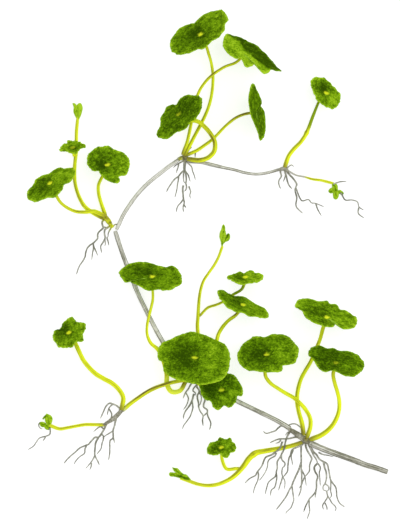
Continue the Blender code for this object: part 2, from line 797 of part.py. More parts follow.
def rested(centres, radii, sides):
    """Turn the heights of a tube's underside, given as centre heights, into its centre's."""
    for number, centre in enumerate(centres):
        radius = radius_at(radii, number / (len(centres) - 1))
        centre.z += rest_height(radius, sides)


def stem(name, parts, sides, step, finish):
    """A length of rhizome, a runner or a shoot, lying on the surface along its route."""
    centres = curve_through([on_surface(place) for place in parts["route"]], step)
    raised_over(centres, parts["over"])
    rested(centres, parts["radii"], sides)
    return add_object(name, tube(centres, parts["radii"], sides), finish)


def leaf_axes(parts):
    """The leaf's upward normal, and the level direction in which its plane rises."""
    bearing = math.radians(parts["bearing"])
    tilt = math.radians(parts["tilt"])
    away = Vector((-math.sin(bearing), math.cos(bearing), 0))
    normal = away * math.sin(tilt) + Vector((0, 0, math.cos(tilt)))
    return normal, away


def leaf_points(parts):
    """The rim, and the hub, on the leaf's tilted plane with the lowest rim point at its lift."""
    normal, away = leaf_axes(parts)
    slope = math.tan(math.radians(parts["tilt"]))
    hub = on_surface(parts["hub"])
    rim = []
    for place in parts["rim"]:
        point = on_surface(place)
        point.z = -(point - hub).dot(away) * slope
        rim.append(point)
    half = normal * LEAF_THICKNESS / 2
    lowest = min((point - half).z for point in rim) - LEAF_RUFFLE
    for point in [hub, *rim]:
        point.z += parts["lift"] - lowest
    return hub, rim, normal


def leaf(name, finish):
    """A thin lobed plate, dimpled at its hub, with a rim that waves a little."""
    hub, rim, normal = leaf_points(LEAVES[name])
    shape = bmesh.new()
    half = normal * LEAF_THICKNESS / 2
    rings = []
    for face in (half, -half):
        middle = shape.verts.new(hub - normal * LEAF_DIMPLE + face)
        inner = []
        outer = []
        for number, point in enumerate(rim):
            wave = LEAF_RUFFLE * (1 if number % 2 else -1)
            inner.append(shape.verts.new(hub.lerp(point, 0.45) + face))
            outer.append(shape.verts.new(point + Vector((0, 0, wave)) + face))
        rings.append((middle, inner, outer))
    count = len(rim)
    for middle, inner, outer in rings:
        for number in range(count):
            beside = (number + 1) % count
            shape.faces.new((middle, inner[number], inner[beside]))
            shape.faces.new((inner[number], outer[number], outer[beside], inner[beside]))
    for number in range(count):
        beside = (number + 1) % count
        top = rings[0][2]
        bottom = rings[1][2]
        shape.faces.new((top[number], bottom[number], bottom[beside], top[beside]))
    bmesh.ops.triangulate(shape, faces=shape.faces)
    return add_object(name, shape, finish)


def petiole(name, finish):
    """A leaf stalk that lies along the surface and rises to the underside of its leaf's hub."""
    parts = PETIOLES[name]
    hub, _, normal = leaf_points(LEAVES[name.replace("petiole", "leaf")])
    clearance = GAP + parts["radii"][-1] / 3
    end = hub - normal * (LEAF_DIMPLE + LEAF_THICKNESS / 2 + clearance)
    rise = parts.get("rise", PETIOLE_RISE)
    points = [on_surface(place) for place in parts["route"]]
    points.append(Vector((end.x, end.y, 0)))
    centres = curve_through(points, STEM_STEP)
    end_lift = end.z - rest_height(parts["radii"][-1], STEM_SIDES)
    along = [0.0]
    for start, after in zip(centres, centres[1:]):
        along.append(along[-1] + (after - start).length)
    for centre, length in zip(centres, along):
        share = (length / along[-1]) ** rise
        centre.z = parts["start_lift"] + (end_lift - parts["start_lift"]) * share
    raised_over(centres, parts["over"])
    rested(centres, parts["radii"], STEM_SIDES)
    centres[-1] = end
    centres[-2] = centres[-2].lerp(end - normal * STEM_STEP, 0.4)
    return add_object(name, tube(centres, parts["radii"], STEM_SIDES), finish)


def branching_place(lines, point):
    """The place on these centre lines that is nearest to a point in plan, if it is near.

    The first stretch of each line is left out: roots that start there grow from the crown.
    """
    nearest = (ROOT_BRANCH_REACH, None)
    for line in lines:
        for start, end in zip(line[1:], line[2:]):
            span = end - start
            share = (point - start).xy.dot(span.xy) / max(span.xy.length_squared, 1e-12)
            place = start + span * min(max(share, 0.0), 1.0)
            nearest = min(nearest, ((point - place).xy.length, place), key=lambda item: item[0])
    return nearest[1]


def root_lines(routes, crossings):
    """Centre lines of roots that drop from the crown and lie on the surface, with branches."""
    lines = []
    for number, route in enumerate(routes):
        points = [on_surface(place) for place in route]
        parent = branching_place(lines, points[0])
        start_height = ROOT_START_LIFT
        if parent:
            points[0] = Vector((parent.x, parent.y, 0))
            start_height = parent.z
        centres = curve_through(points, ROOT_STEP)
        resting = ROOT_STAGGER * number
        fallen = 0.0
        for place, centre in enumerate(centres):
            if place:
                fallen += (centre.xy - centres[place - 1].xy).length
            drop = max(0.0, 1 - fallen / ROOT_DROP_LENGTH)
            centre.z = resting + (start_height - resting) * drop
        raised_over(centres[1:], crossings)
        lines.append(centres)
    return lines


def root_tube(line):
    """One root, thin and four-sided, along its centre line."""
    lift = Vector((0, 0, rest_height(ROOT_BASE_RADIUS, ROOT_SIDES)))
    centres = [centre + lift for centre in line]
    return tube(centres, (ROOT_BASE_RADIUS, ROOT_TIP_RADIUS), ROOT_SIDES)


def fused(base, name, pieces, finish):
    """Join helper solids to a base object with one union, so that they are one body."""
    helpers = bpy.data.collections.new(name + "_pieces")
    bpy.context.scene.collection.children.link(helpers)
    for number, piece in enumerate(pieces):
        helper = add_object(f"{name}_piece_{number}", piece, finish, is_helper=True)
        bpy.context.collection.objects.unlink(helper)
        helpers.objects.link(helper)
    union = base.modifiers.new("Grown together", "BOOLEAN")
    union.operation = "UNION"
    union.solver = "EXACT"
    union.operand_type = "COLLECTION"
    union.collection = helpers


def crown(name, finish):
    """A crown's thick stem with its main roots grown from it."""
    parts = CROWNS[name]
    centres = curve_through([on_surface(place) for place in parts["stem"]], 0.0022)
    for centre in centres:
        centre.z = rest_height(max(parts["radii"]), RHIZOME_SIDES)
    base = add_object(name, tube(centres, parts["radii"], RHIZOME_SIDES), finish)
    lines = root_lines(parts["roots"], parts["over"])
    fused(base, name, [root_tube(line) for line in lines], finish)


def bud_lobe(place, length, width, height, bearing):
    """One young lobe: a flattened ball turned to its bearing, its underside on the surface."""
    shape = bmesh.new()
    bmesh.ops.create_uvsphere(
        shape, u_segments=BUD_SEGMENTS, v_segments=BUD_RINGS, radius=0.5
    )
    turn = math.radians(bearing)
    middle = on_surface(place, height * PIXEL / 2)
    for point in shape.verts:
        flat = point.co.copy()
        long = flat.z * length * PIXEL
        wide = flat.x * width * PIXEL
        tall = flat.y * height * PIXEL
        point.co = middle + Vector(
            (
                long * math.cos(turn) - wide * math.sin(turn),
                long * math.sin(turn) + wide * math.cos(turn),
                tall,
            )
        )
    return shape


def bud(name, finish):
    """A young bud: lobes, and its own thin roots, grown together."""
    lobes = [bud_lobe(*lobe) for lobe in BUDS[name]]
    base = add_object(name, lobes[0], finish)
    lines = root_lines(BUD_ROOTS.get(name, []), [])
    fused(base, name, lobes[1:] + [root_tube(line) for line in lines], finish)


def build():
    clear_scene()
    leaf_green = material("leaf_green", LEAF_GREEN, 0.55)
    light_green = material("leaf_light_green", LIGHT_GREEN, 0.55)
    stem_yellow = material("stem_yellow", STEM_YELLOW, 0.45)
    rhizome_grey = material("rhizome_grey", RHIZOME_GREY, 0.75)
    root_grey = material("root_grey", ROOT_GREY, 0.8)
    bud_green = material("bud_green", BUD_GREEN, 0.5)
    for name in LEAVES:
        leaf(name, light_green if name == "leaf_4_folded" else leaf_green)
    for name in PETIOLES:
        petiole(name, stem_yellow)
    for name, parts in RHIZOMES.items():
        stem(name, parts, RHIZOME_SIDES, RHIZOME_STEP, rhizome_grey)
    for name, parts in RUNNERS.items():
        stem(name, parts, STEM_SIDES, STEM_STEP, stem_yellow)
    for name in CROWNS:
        crown(name, root_grey)
    for name in BUDS:
        bud(name, bud_green)


build()
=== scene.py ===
"""The look of a whorled pennywort plant, picked and laid flat on a pale surface.

The pieces follow the plant as it grew: the rhizome, the rooted crowns, the runners, the leaf
stalks, the round leaves and the young buds. Lengths are in metres and +Z is up.
"""

import math

import bmesh
import bpy
import numpy as np
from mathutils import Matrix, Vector, noise


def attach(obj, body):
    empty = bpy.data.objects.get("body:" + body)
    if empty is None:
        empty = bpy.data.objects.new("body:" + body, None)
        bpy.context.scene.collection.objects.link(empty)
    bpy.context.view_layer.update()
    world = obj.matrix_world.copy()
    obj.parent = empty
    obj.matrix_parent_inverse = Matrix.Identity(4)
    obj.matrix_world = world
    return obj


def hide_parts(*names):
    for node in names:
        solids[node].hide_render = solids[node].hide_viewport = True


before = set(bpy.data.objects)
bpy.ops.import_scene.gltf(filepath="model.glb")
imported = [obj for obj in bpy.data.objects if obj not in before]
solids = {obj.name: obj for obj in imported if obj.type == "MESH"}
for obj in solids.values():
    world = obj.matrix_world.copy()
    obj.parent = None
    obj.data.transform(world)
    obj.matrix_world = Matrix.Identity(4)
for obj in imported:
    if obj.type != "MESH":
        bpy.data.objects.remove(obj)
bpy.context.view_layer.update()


# Surface, light and camera
# A wide pale table top under soft daylight. The plant is seen from straight above, from far
# enough away that nothing leans outwards.
PIXEL = 0.0005
PLANT_MIDDLE = (207.57, 264.76)
PICTURE_SIZE = (400, 529)
PICTURE_MIDDLE = (200, 264.25)
MID_LEAF_HEIGHT = 0.010
CAMERA_LENS = 900
CAMERA_FILM = 36


def spot(place, height=0.0):
    """The point over this place of the picture, in pixels, at this height."""
    x = (place[0] - PLANT_MIDDLE[0]) * PIXEL
    y = (PLANT_MIDDLE[1] - place[1]) * PIXEL
    return Vector((x, y, height))


def tone(red, green, blue):
    """A colour as it looks on paper, from 0 to 255, as the renderer's linear light."""
    shares = [channel / 255 for channel in (red, green, blue)]
    light = [s / 12.92 if s <= 0.04045 else ((s + 0.055) / 1.055) ** 2.4 for s in shares]
    return (*light, 1.0)


class Flow:
    """What flows out of one shader node. Plain sums on it add the Math nodes they need."""

    def __init__(self, tree, socket=None):
        self.tree = tree
        self.socket = socket

    def node(self, kind, settings=None, inputs=None, output=0):
        """Add a node, set it up, feed its sockets and return one of its outputs."""
        added = self.tree.nodes.new("ShaderNode" + kind)
        for name, setting in (settings or {}).items():
            if name != "stops":
                setattr(added, name, setting)
                continue
            ramp = added.color_ramp
            while len(ramp.elements) < len(setting):
                ramp.elements.new(1.0)
            for element, (place, colour) in zip(ramp.elements, setting):
                element.position = place
                element.color = colour
        for name, fed in (inputs or {}).items():
            if isinstance(fed, Flow):
                self.tree.links.new(fed.socket, added.inputs[name])
            else:
                added.inputs[name].default_value = fed
        return Flow(self.tree, added.outputs[output])

    def sum(self, operation, first, second):
        return self.node("Math", {"operation": operation}, {0: first, 1: second})

    def __add__(self, other):
        return self.sum("ADD", self, other)

    __radd__ = __add__

    def __mul__(self, other):
        return self.sum("MULTIPLY", self, other)

    __rmul__ = __mul__

    def __sub__(self, other):
        return self.sum("SUBTRACT", self, other)

    def __rsub__(self, other):
        return self.sum("SUBTRACT", other, self)

    def __pow__(self, other):
        return self.sum("POWER", self, other)

    def spread(self, low, high, to_low=0.0, to_high=1.0):
        """This value stretched from low..high to another range, with soft ends."""
        ends = {"From Min": low, "From Max": high, "To Min": to_low, "To Max": to_high}
        soft = {"interpolation_type": "SMOOTHSTEP"}
        return self.node("MapRange", soft, {"Value": self, **ends})

    def ramp(self, *stops):
        """A colour for this value, through the given stops."""
        return self.node("ValToRGB", {"stops": stops}, {"Fac": self})

    def mixed(self, first, second, blend="MIX"):
        """From one colour to another by this value."""
        settings = {"data_type": "RGBA", "blend_type": blend}
        return self.node("Mix", settings, {0: self, 6: first, 7: second}, 2)


def new_finish(name, **constants):
    """A Principled material: its start, its shader, and the material itself."""
    made = bpy.data.materials.new(name)
    made.use_nodes = True
    shader = made.node_tree.nodes["Principled BSDF"]
    for socket, value in constants.items():
        shader.inputs[socket.replace("_", " ")].default_value = value
    return Flow(made.node_tree), shader, made


def feed(shader, socket, flow):
    """Join what flows out of the other nodes to one of the shader's sockets."""
    flow.tree.links.new(flow.socket, shader.inputs[socket])


bpy.ops.object.select_all(action="DESELECT")
bpy.ops.mesh.primitive_plane_add(size=8, location=(0, 0, -0.00004))
table = bpy.context.object
table.name = "pale_table"
start, shader, table_finish = new_finish("pale table", Roughness=1.0)
shader.inputs["Base Color"].default_value = (0.45, 0.45, 0.45, 1.0)
shader.inputs["Specular IOR Level"].default_value = 0.0
shader.inputs["Emission Color"].default_value = (1.0, 1.0, 1.0, 1.0)
shader.inputs["Emission Strength"].default_value = 0.68
table.data.materials.append(table_finish)

daylight = bpy.data.worlds.new("daylight")
daylight.use_nodes = True
daylight.node_tree.nodes["Background"].inputs["Color"].default_value = (1.0, 1.0, 1.0, 1.0)
daylight.node_tree.nodes["Background"].inputs["Strength"].default_value = 0.9
bpy.context.scene.world = daylight
bpy.context.scene.view_settings.view_transform = "Standard"

bpy.ops.object.light_add(type="SUN", location=(0.9, 0.4, 1.8))
window = bpy.context.object
window.name = "window_light"
window.data.energy = 0.9
window.data.angle = math.radians(50)
window.rotation_euler = window.location.to_track_quat("Z", "Y").to_euler()

camera_height = PICTURE_SIZE[1] * PIXEL / CAMERA_FILM * CAMERA_LENS
eye = spot(PICTURE_MIDDLE, MID_LEAF_HEIGHT + camera_height)
bpy.ops.object.camera_add(location=eye, rotation=(0, 0, 0))
camera = bpy.context.object
camera.name = "from_above"
camera.data.lens = CAMERA_LENS
camera.data.sensor_width = CAMERA_FILM
camera.data.clip_end = 60
bpy.context.scene.camera = camera


# Rhizome
# The creeping stem that joins the crowns, in five lengths from its cut end. It is pale grey
# and papery, with fine lines along it and a faint ring at each old leaf scar. Its flanks are
# painted darker as shade.
RHIZOME_SIDES = 8
STEM_STEP = 0.0006
# For each length: where it starts, how far it runs on into the crowns at its two ends, how
# pale it is and how much thicker than its solid, and where it is swollen
RHIZOME_LENGTHS = {
    "rhizome_1_cut_end": ((387.9, 472), (0, 0.0014), 0.38, 1.06, ()),
    "rhizome_2": ((288.2, 427), (0.0014, 0.0014), 0.47, 1.04, ()),
    "rhizome_3": ((188.4, 374.6), (0.0014, 0.0020), 0.52, 1.06, ()),
    "rhizome_4": ((118.2, 224), (0.0026, 0.0014), 0.74, 1.06, ()),
    "rhizome_5": ((190.6, 161.4), (0.0014, 0.0014), 0.58, 1.16, [((213, 163.6), 0.005, 0.40)]),
}


def bare_mesh(solid):
    """A solid's mesh with its doubled corners merged, to measure."""
    shape = bmesh.new()
    shape.from_mesh(solids[solid].data)
    bmesh.ops.remove_doubles(shape, verts=shape.verts, dist=1e-6)
    return shape


def centre_line(solid, sides, start_place):
    """The middles and radii of the rings of a tube-like solid, from its start to its end."""
    shape = bare_mesh(solid)
    flat = shape.copy()
    bmesh.ops.dissolve_limit(flat, angle_limit=0.01, verts=flat.verts, edges=flat.edges)
    ends = []
    for face in flat.faces:
        if len(face.verts) == sides and min(e.calc_face_angle() for e in face.edges) > 0.9:
            ends.append([corner.co.copy() for corner in face.verts])
    begin = spot(start_place)
    first = min(ends, key=lambda ring: (sum(ring, Vector()) / sides - begin).xy.length)
    ring = [min(shape.verts, key=lambda v: (v.co - corner).length) for corner in first]
    flat.free()
    seen = set(ring)
    line = []
    while ring:
        middle = sum((v.co for v in ring), Vector()) / len(ring)
        line.append((middle, sum((v.co - middle).length for v in ring) / len(ring)))
        after = []
        for corner in ring:
            for edge in corner.link_edges:
                beside = edge.other_vert(corner)
                if beside not in seen:
                    seen.add(beside)
                    after.append(beside)
        ring = after
    shape.free()
    return line


def smoothed(line, step):
    """Evenly spaced middles and radii on a smooth curve through the given ones."""
    rows = [np.array([*middle, radius]) for middle, radius in line]
    rows = [2 * rows[0] - rows[1], *rows, 2 * rows[-1] - rows[-2]]
    fine = []
    for before, start, end, after in zip(rows, rows[1:], rows[2:], rows[3:]):
        for part in range(16):
            t = part / 16
            slope = (end - before) * t
            bend = (2 * before - 5 * start + 4 * end - after) * t**2
            turn = (3 * start - before - 3 * end + after) * t**3
            fine.append(0.5 * (2 * start + slope + bend + turn))
    fine.append(rows[-2])
    fine = np.array(fine)
    along = np.linalg.norm(np.diff(fine[:, :3], axis=0), axis=1)
    along = np.concatenate([[0.0], np.cumsum(along)])
    wanted = np.linspace(0, along[-1], max(3, round(along[-1] / step) + 1))
    spaced = np.stack([np.interp(wanted, along, column) for column in fine.T], axis=1)
    return [(Vector(row[:3]), float(row[3])) for row in spaced], wanted


def tube_mesh(name, lines, bevel_steps):
    """One mesh of round closed tubes, drawn as bevelled curves. Each is a smooth line."""
    path = bpy.data.curves.new(name, "CURVE")
    path.dimensions = "3D"
    path.bevel_depth = 1.0
    path.bevel_resolution = bevel_steps
    path.use_fill_caps = True
    for line in lines:
        stroke = path.splines.new("POLY")
        stroke.points.add(len(line) - 1)
        for point, (middle, radius) in zip(stroke.points, line):
            point.co = (*middle, 1.0)
            point.radius = radius
    piece = bpy.data.objects.new(name, path)
    bpy.context.scene.collection.objects.link(piece)
    bpy.ops.object.select_all(action="DESELECT")
    piece.select_set(True)
    bpy.context.view_layer.objects.active = piece
    bpy.ops.object.convert(target="MESH")
    piece = bpy.context.object
    bpy.ops.object.mode_set(mode="EDIT")
    bpy.ops.mesh.select_all(action="SELECT")
    bpy.ops.mesh.remove_doubles(threshold=1e-7)
    bpy.ops.mesh.normals_make_consistent(inside=False)
    bpy.ops.object.mode_set(mode="OBJECT")
    bpy.ops.object.shade_smooth_by_angle(angle=math.radians(50))
    return piece


def mark(piece, name, values):
    """Keep one number, or three, for each corner of a piece, for its finish to read."""
    kind = "FLOAT" if np.ndim(values) == 1 else "FLOAT_VECTOR"
    field = "value" if kind == "FLOAT" else "vector"
    kept = piece.data.attributes.new(name, kind, "POINT")
    kept.data.foreach_set(field, np.asarray(values, np.float32).ravel())


def corners(piece):
    """The places of a piece's corners, one row each."""
    places = np.empty(len(piece.data.vertices) * 3)
    piece.data.vertices.foreach_get("co", places)
    return places.reshape(-1, 3)


def mark_length(piece, line, along):
    """Mark each corner of a tube with its distance along, and its share of the length."""
    middles = np.array([middle for middle, _ in line])
    places = corners(piece)
    nearest = np.empty(len(places), int)
    for first in range(0, len(places), 4000):
        block = places[first : first + 4000]
        away = ((block[:, None, :] - middles[None, :, :]) ** 2).sum(axis=2)
        nearest[first : first + 4000] = away.argmin(axis=1)
    offset = places - middles[nearest]
    ahead = np.gradient(middles, axis=0)[nearest]
    ahead /= np.linalg.norm(ahead, axis=1)[:, None]
    level = np.cross(ahead, (0.0, 0.0, 1.0))
    level /= np.maximum(np.linalg.norm(level, axis=1), 1e-6)[:, None]
    up = np.cross(level, ahead)
    across = (offset * level).sum(axis=1)
    above = (offset * up).sum(axis=1)
    mark(piece, "grain", np.stack([across, above, along[nearest]], axis=1))
    mark(piece, "share", along[nearest] / along[-1])


def let_in(line, reaches):
    """A line with its ends carried on into what they join, narrowing a little there."""
    for end, beyond, reach in ((0, 1, reaches[0]), (-1, -2, reaches[1])):
        if not reach:
            continue
        middle, radius = line[end]
        further = middle + (middle - line[beyond][0]).normalized() * reach
        line.insert(0 if end == 0 else len(line), (further, radius * 0.8))
    return line


def stem_piece(solid, sides, start_place, swell, into=(0, 0), joints=()):
    """A smooth round stem in place of a tube-like solid, swollen a little at its joints."""
    line = let_in(centre_line(solid, sides, start_place), into)
    line, along = smoothed(line, STEM_STEP)
    line = [(m, r * swell(length, along[-1])) for (m, r), length in zip(line, along)]
    for place, size, share in joints:
        middle = spot(place)
        line = [
            (m, r * (1 + share * math.exp(-(((m.xy - middle.xy).length / size) ** 2))))
            for m, r in line
        ]
    piece = tube_mesh(solid.replace("petiole", "stalk") + "_grown", [line], 6)
    mark_length(piece, line, along)
    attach(piece, "root")
    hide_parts(solid)
    return piece


def rhizome_swell(thicker):
    """Slight rings at the old leaf scars, and an uneven papery skin."""

    def swell(length, whole):
        scar = math.exp(-(((length + 0.003) % 0.0125 - 0.00625) / 0.0005) ** 2)
        return thicker * (1 + 0.07 * scar + 0.05 * noise.noise((length * 400, whole * 900, 2.0)))

    return swell


def lengthwise(start, crosswise_scale, lengthwise_scale, detail=3.0):
    """A grain of fine lines that run along a stem."""
    grain = start.node("Attribute", {"attribute_name": "grain"}, output="Vector")
    scale = (crosswise_scale, crosswise_scale, lengthwise_scale)
    settings = {"operation": "MULTIPLY"}
    stretched = start.node("VectorMath", settings, {0: grain, 1: scale})
    inputs = {"Vector": stretched, "Scale": 1.0, "Detail": detail, "Roughness": 0.6}
    return start.node("TexNoise", None, inputs)


def side_light(start, direction):
    """How far a surface faces a direction, from -1 to 1."""
    facing = start.node("NewGeometry", None, None, "Normal")
    settings = {"operation": "DOT_PRODUCT"}
    return start.node("VectorMath", settings, {0: facing, 1: direction}, "Value")


start, shader, rhizome_finish = new_finish("papery rhizome", Roughness=0.85)
shader.inputs["Specular IOR Level"].default_value = 0.0
paleness = start.node("Attribute", {"attribute_name": "paleness"}, output="Fac")
lines = lengthwise(start, 3000, 70)
blotches = lengthwise(start, 500, 260)
# Painted shade on the flanks, where the skin turns away from above, over the rhizome's own paleness,
# lines and blotches.
painted_flank_shade = side_light(start, (0.0, 0.0, 1.0)).spread(0.80, 0.35)
stain_and_painted_shade = paleness * (1 - painted_flank_shade * 0.6) + (lines - 0.5) * 2.3 + (blotches - 0.5) * 0.6
feed(
    shader,
    "Base Color",
    stain_and_painted_shade.ramp(
        (0.05, tone(84, 84, 70)),
        (0.30, tone(132, 131, 115)),
        (0.52, tone(176, 175, 162)),
        (0.80, tone(222, 221, 213)),
    ),
)
ridges = start.node("Bump", None, {"Strength": 0.5, "Distance": 0.0001, "Height": lines})
feed(shader, "Normal", ridges)

for solid, (start_place, into, pale, thicker, joints) in RHIZOME_LENGTHS.items():
    swell = rhizome_swell(thicker)
    piece = stem_piece(solid, RHIZOME_SIDES, start_place, swell, into=into, joints=joints)
    mark(piece, "paleness", np.full(len(piece.data.vertices), pale))
    piece.data.materials.append(rhizome_finish)


# Crowns and roots
# Six short thick lengths of stem where the plant has rooted, each with a bunch of thin grey
# roots that fork and lie on the surface as they fell.
CROWN_HEIGHT = 0.0014
ROOT_STEP = 0.0007
ROOT_DROP = 0.004
CROWN_STEMS = {
    "crown_1": ([(289, 428.8), (297, 434), (303.5, 438.6), (311.4, 443.6)], (0.0011, 0.0015)),
    "crown_2": ([(188.2, 375.2), (195, 378.6), (201.4, 381.9)], (0.0011, 0.0012)),
    "crown_3": ([(103, 214.3), (108.4, 221), (112.4, 227.6)], (0.0013, 0.0009)),
    "crown_4": ([(177.8, 158.9), (184, 157.4), (190.2, 159.8)], (0.0010, 0.0011)),
    "crown_5": ([(278.6, 169.3), (283.6, 168.4), (288.2, 169.9)], (0.0008, 0.0009)),
    "crown_6": ([(122.3, 409.8), (114, 418), (103.8, 424.7)], (0.0011, 0.0008)),
}
ROOT_THICKNESS = {"main": (0.0005, 0.0003), "fine": (0.00039, 0.00022)}
